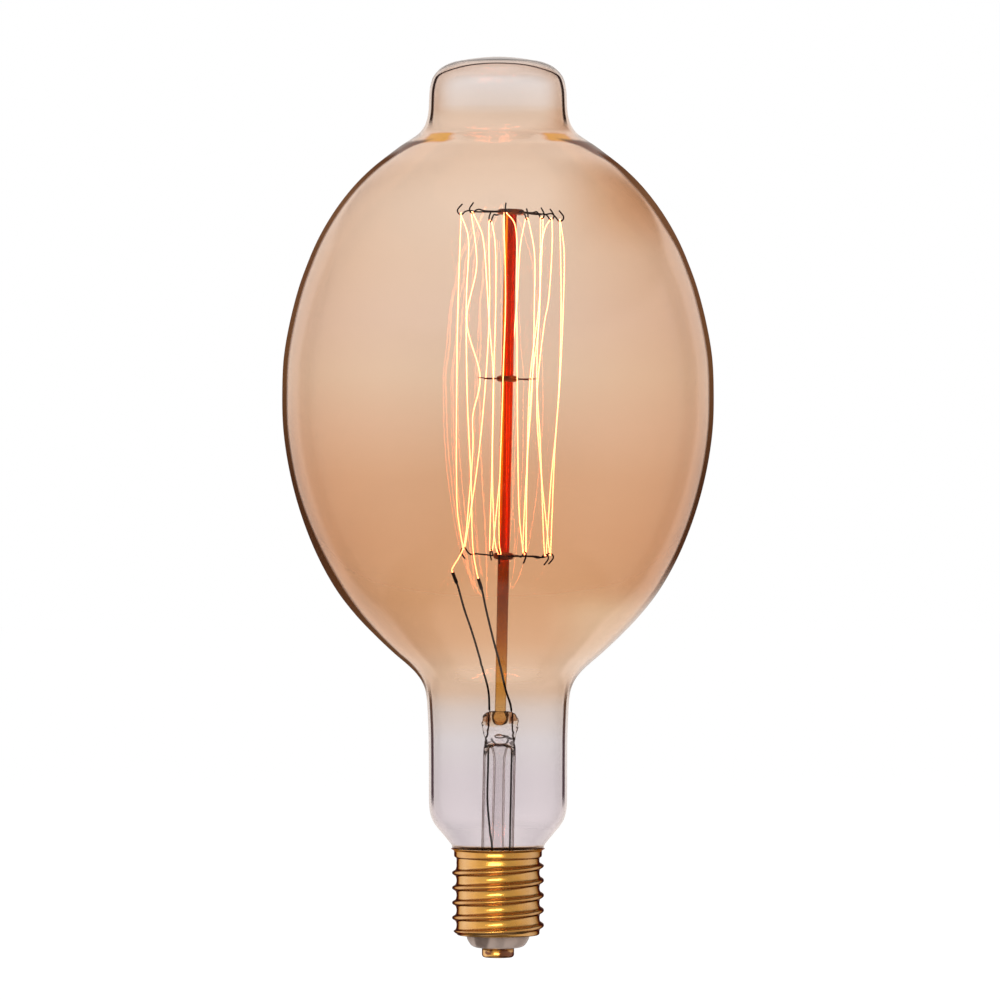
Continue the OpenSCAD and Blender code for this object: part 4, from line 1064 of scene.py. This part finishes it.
filamentLine = buildFilamentLine()
alongLines("filamentCoil", coilTree, [filamentLine],
           {"Coil Radius": filament["coilR"] * mm, "Pitch": filament["pitch"] * mm, "Steps Per Turn": 6.0,
            "Wire Radius": filament["wireR"] * mm, "Sides": 3}, filamentGlow, ["filament"])
print("filament made")

leads = {  # the points of each inner lead, from the pinch to its sleeve
    "left": [(-4.68, 0, 104.7), (-5.1, -0.2, 112), (-6.1, -0.5, 117), (-8.3, -1.1, 124),
             (-12.1, -2.2, 136.3), (-16.2, -3.1, 147.6)],
    "right": [(4.7, 0, 104.7), (4.2, -0.9, 107.5), (2.2, -3.6, 113.5), (-0.5, -6.9, 124.4),
              (-3.6, -10.3, 135.2), (-7, -13.8, 148.2)],
    "r": 0.45,
}
sleeve = {  # how far down from its mouth, and the radius there: outside, and back up the bore
    "length": 5.0, "around": 24,
    "section": [(0, 0.47), (0, 0.62), (0.25, 0.72), (0.6, 0.75), (1.6, 0.70), (2.3, 0.74), (3.2, 0.75),
                (4.4, 0.75), (4.8, 0.70), (5.0, 0.58), (5.0, 0.47), (4.8, 0.45), (0.2, 0.45)],
}
for side in ("left", "right"):
    lip = np.array(filament[side + "Mouth"], float)
    way = np.array(filament[side + "Aim"], float)
    way /= np.linalg.norm(way)
    points = leads[side] + [lip - way * sleeve["length"] * part for part in (1.2, 1, 0.45)]
    alongLines(side + "InnerLead", wireTree, [throughPoints([onStem(p) for p in points], 0.6)],
               {"Wire Radius": leads["r"] * mm, "Sides": 12}, darkWire, [side + "_inner_lead"])
    across = np.cross(way, [0, 1, 0])
    across /= np.linalg.norm(across)
    other = np.cross(way, across)
    rings = [[onStem(lip - way * down + r * (math.cos(a) * across - math.sin(a) * other))
              for a in roundTurns(sleeve["around"])]
             for down, r in sleeve["section"]]
    addPiece(side + "Sleeve", ringMesh(side + "Sleeve", [rings], closed=True), darkWire,
             [side + "_sleeve"])

outerLeads = {  # points in the stem, and for the two that leave it, points below
    "leftSealWire": {"node": "left_seal_wire", "r": 0.3, "paint": sealWire, "slot": "seal_wire",
                     "points": [(-4.9, 0, 90.8), (-4.75, 0, 98), (-4.5, 0, 104.6)], "below": []},
    "rightSealWire": {"node": "right_seal_wire", "r": 0.3, "paint": sealWire, "slot": "seal_wire",
                      "points": [(5.1, 0, 90.8), (4.95, 0, 98), (4.7, 0, 104.6)], "below": []},
    "sideLead": {"node": "side_lead", "r": 0.44, "paint": leadWire, "slot": "copper_wire",
                 "points": [(-4.8, 0, 90.7), (-4.75, 0, 84), (-4.7, 0, 66.8), (-3.6, -1.6, 56),
                            (-2.3, -3.2, 47.6), (-2.3, -3.2, 36.6), (-2.3, -3.2, 29.6)],
                 "below": [(-4.6, -1.5, 25.6), (-4.4, 2.5, 23.5), (-2.4, 6, 23.1)]},
    "contactLead": {"node": "contact_lead", "r": 0.44, "paint": leadWire, "slot": "copper_wire",
                    "points": [(5.2, 0, 90.7), (5.2, 0, 65.8), (5.2, 0, 43.6), (5.2, 0, 27.6)],
                    "below": [(4.2, 0, 19.5)]},
}
for name, lead in outerLeads.items():
    points = [onStem(p) for p in lead["points"]] + lead["below"]
    alongLines(name, wireTree, [throughPoints(points, 0.8)], {"Wire Radius": lead["r"] * mm, "Sides": 10},
               lead["paint"], [lead["node"]])
print("leads made")


# cap

cap = {
    "rootR": 17.65, "pitch": 6.35, "firstCrest": 13.65, "wall": 0.4,
    "footZ": 9.5, "footR": 0.8, "collarZ": 41.2,
    # the thread's section: how far below or above a crest, and the radius there
    "section": [(0, 19.55), (0.3, 19.5), (0.6, 19.3), (0.85, 18.97), (1.1, 18.52), (1.35, 18.17),
                (1.65, 17.95), (2.1, 17.80), (2.6, 17.69), (3.18, 17.65)],
    "collar": [(17.66, 41.6), (17.73, 42.1), (18.0, 42.45), (18.42, 42.7), (18.64, 43.1), (18.7, 43.8),
               (18.72, 45.0), (18.85, 45.4), (19.25, 45.75), (19.75, 45.98), (19.95, 46.12), (19.83, 46.28)],
    "insideCollar": [(19.45, 46.3), (18.5, 45.9), (18.3, 45.2), (18.3, 43.6), (17.9, 42.4), (17.4, 41.5)],
    "holeR": 13.6, "around": 144, "row": 0.22,
}
threadLine = throughPoints(cap["section"], 0.08)


def threadRadius(angle, z, depth):
    turns = (z - cap["firstCrest"]) / cap["pitch"] - angle / (2 * math.pi)
    apart = abs(turns - round(turns)) * cap["pitch"]
    return float(np.interp(apart, threadLine[:, 0], threadLine[:, 1])) - depth


def capRings():
    root, foot, corner, wall = cap["rootR"], cap["footZ"], cap["footR"], cap["wall"]
    high = cap["collarZ"] - 0.6

    def plain(points):
        return [(r, z, 0, 0) for r, z in points]

    def thread(depth):  # it fades out at both ends
        return [(root - depth, z, max(0.0, min(1.0, (z - foot - 0.4) / 1.6, (high - z) / 1.5)), depth)
                for z in np.arange(foot + corner, high, cap["row"])]

    outer = [(cap["holeR"], foot), (root - 2, foot)]
    outer += [(root - corner + corner * math.sin(a), foot + corner - corner * math.cos(a))
              for a in np.radians(np.linspace(0, 80, 6))]
    outer = (plain(outer) + thread(0)
             + plain(throughPoints([(root, cap["collarZ"] - 0.5)] + cap["collar"], 0.3)))
    inner = plain(cap["insideCollar"]) + thread(wall)[::-1]
    inner += plain([(root - wall - 0.5, foot + wall), (cap["holeR"], foot + wall)])
    rings = []
    for r, z, share, depth in outer + inner:
        ring = []
        for a in roundTurns(cap["around"]):
            out = r + share * (threadRadius(a, z, depth) - r)
            ring.append((out * math.cos(a), out * math.sin(a), z))
        rings.append(ring)
    return rings


addPiece("capShell", ringMesh("capShell", [capRings()], closed=True), brass, ["cap_shell"])

insulator = {
    "flangeR": 16.4, "flangeZ": 12.35, "contactR": 6.85, "coneZ": 14.35,
    "hole": 1.2, "topZ": 9.95, "footZ": 4.0,
    "bowl": [(13.5, 9.95), (13.42, 9.0), (13.1, 7.9), (12.4, 6.5),
             (11.4, 5.2), (10.0, 4.4), (8.2, 4.05), (7.05, 4.0)],
}


def insulatorProfile():
    sizes = insulator
    cone = [(sizes["hole"], sizes["coneZ"]), (sizes["contactR"], sizes["coneZ"]),
            (sizes["flangeR"], sizes["flangeZ"]), (sizes["flangeR"], sizes["topZ"])]
    return cone + [tuple(p) for p in throughPoints(sizes["bowl"], 0.4)] + [(sizes["hole"], sizes["footZ"])]


addPiece("capInsulator", lathe("capInsulator", insulatorProfile(), 96), capGlass,
         ["cap_insulator"])

contact = {"r": 6.85, "edge": 1.3, "topZ": 4.0, "bevel": 0.3, "solderR": 1.95, "recess": 0.8, "hole": 1.2}


def contactProfile():
    r, edge, top, bevel = contact["r"], contact["edge"], contact["topZ"], contact["bevel"]
    corner = [(r - edge + edge * math.cos(a), edge + edge * math.sin(a))
              for a in np.radians(np.linspace(0, -90, 9))]
    well = contact["solderR"]
    return [(contact["hole"], top), (r - bevel, top), (r, top - bevel)] + corner + [
        (well + 0.15, 0), (well, 0.12), (well, contact["recess"]), (contact["hole"], contact["recess"])]


addPiece("centreContact", lathe("centreContact", contactProfile(), 72), contactBrass,
         ["centre_contact"])

for name in ("capShell", "centreContact"):
    capOnly.objects.link(bpy.data.objects[name])

for node, paint in {"contact_solder": solder, "side_solder": solder, "capping_cement": cement}.items():
    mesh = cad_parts[node].data
    mesh.materials.clear()
    mesh.materials.append(paint)
print("cap made")
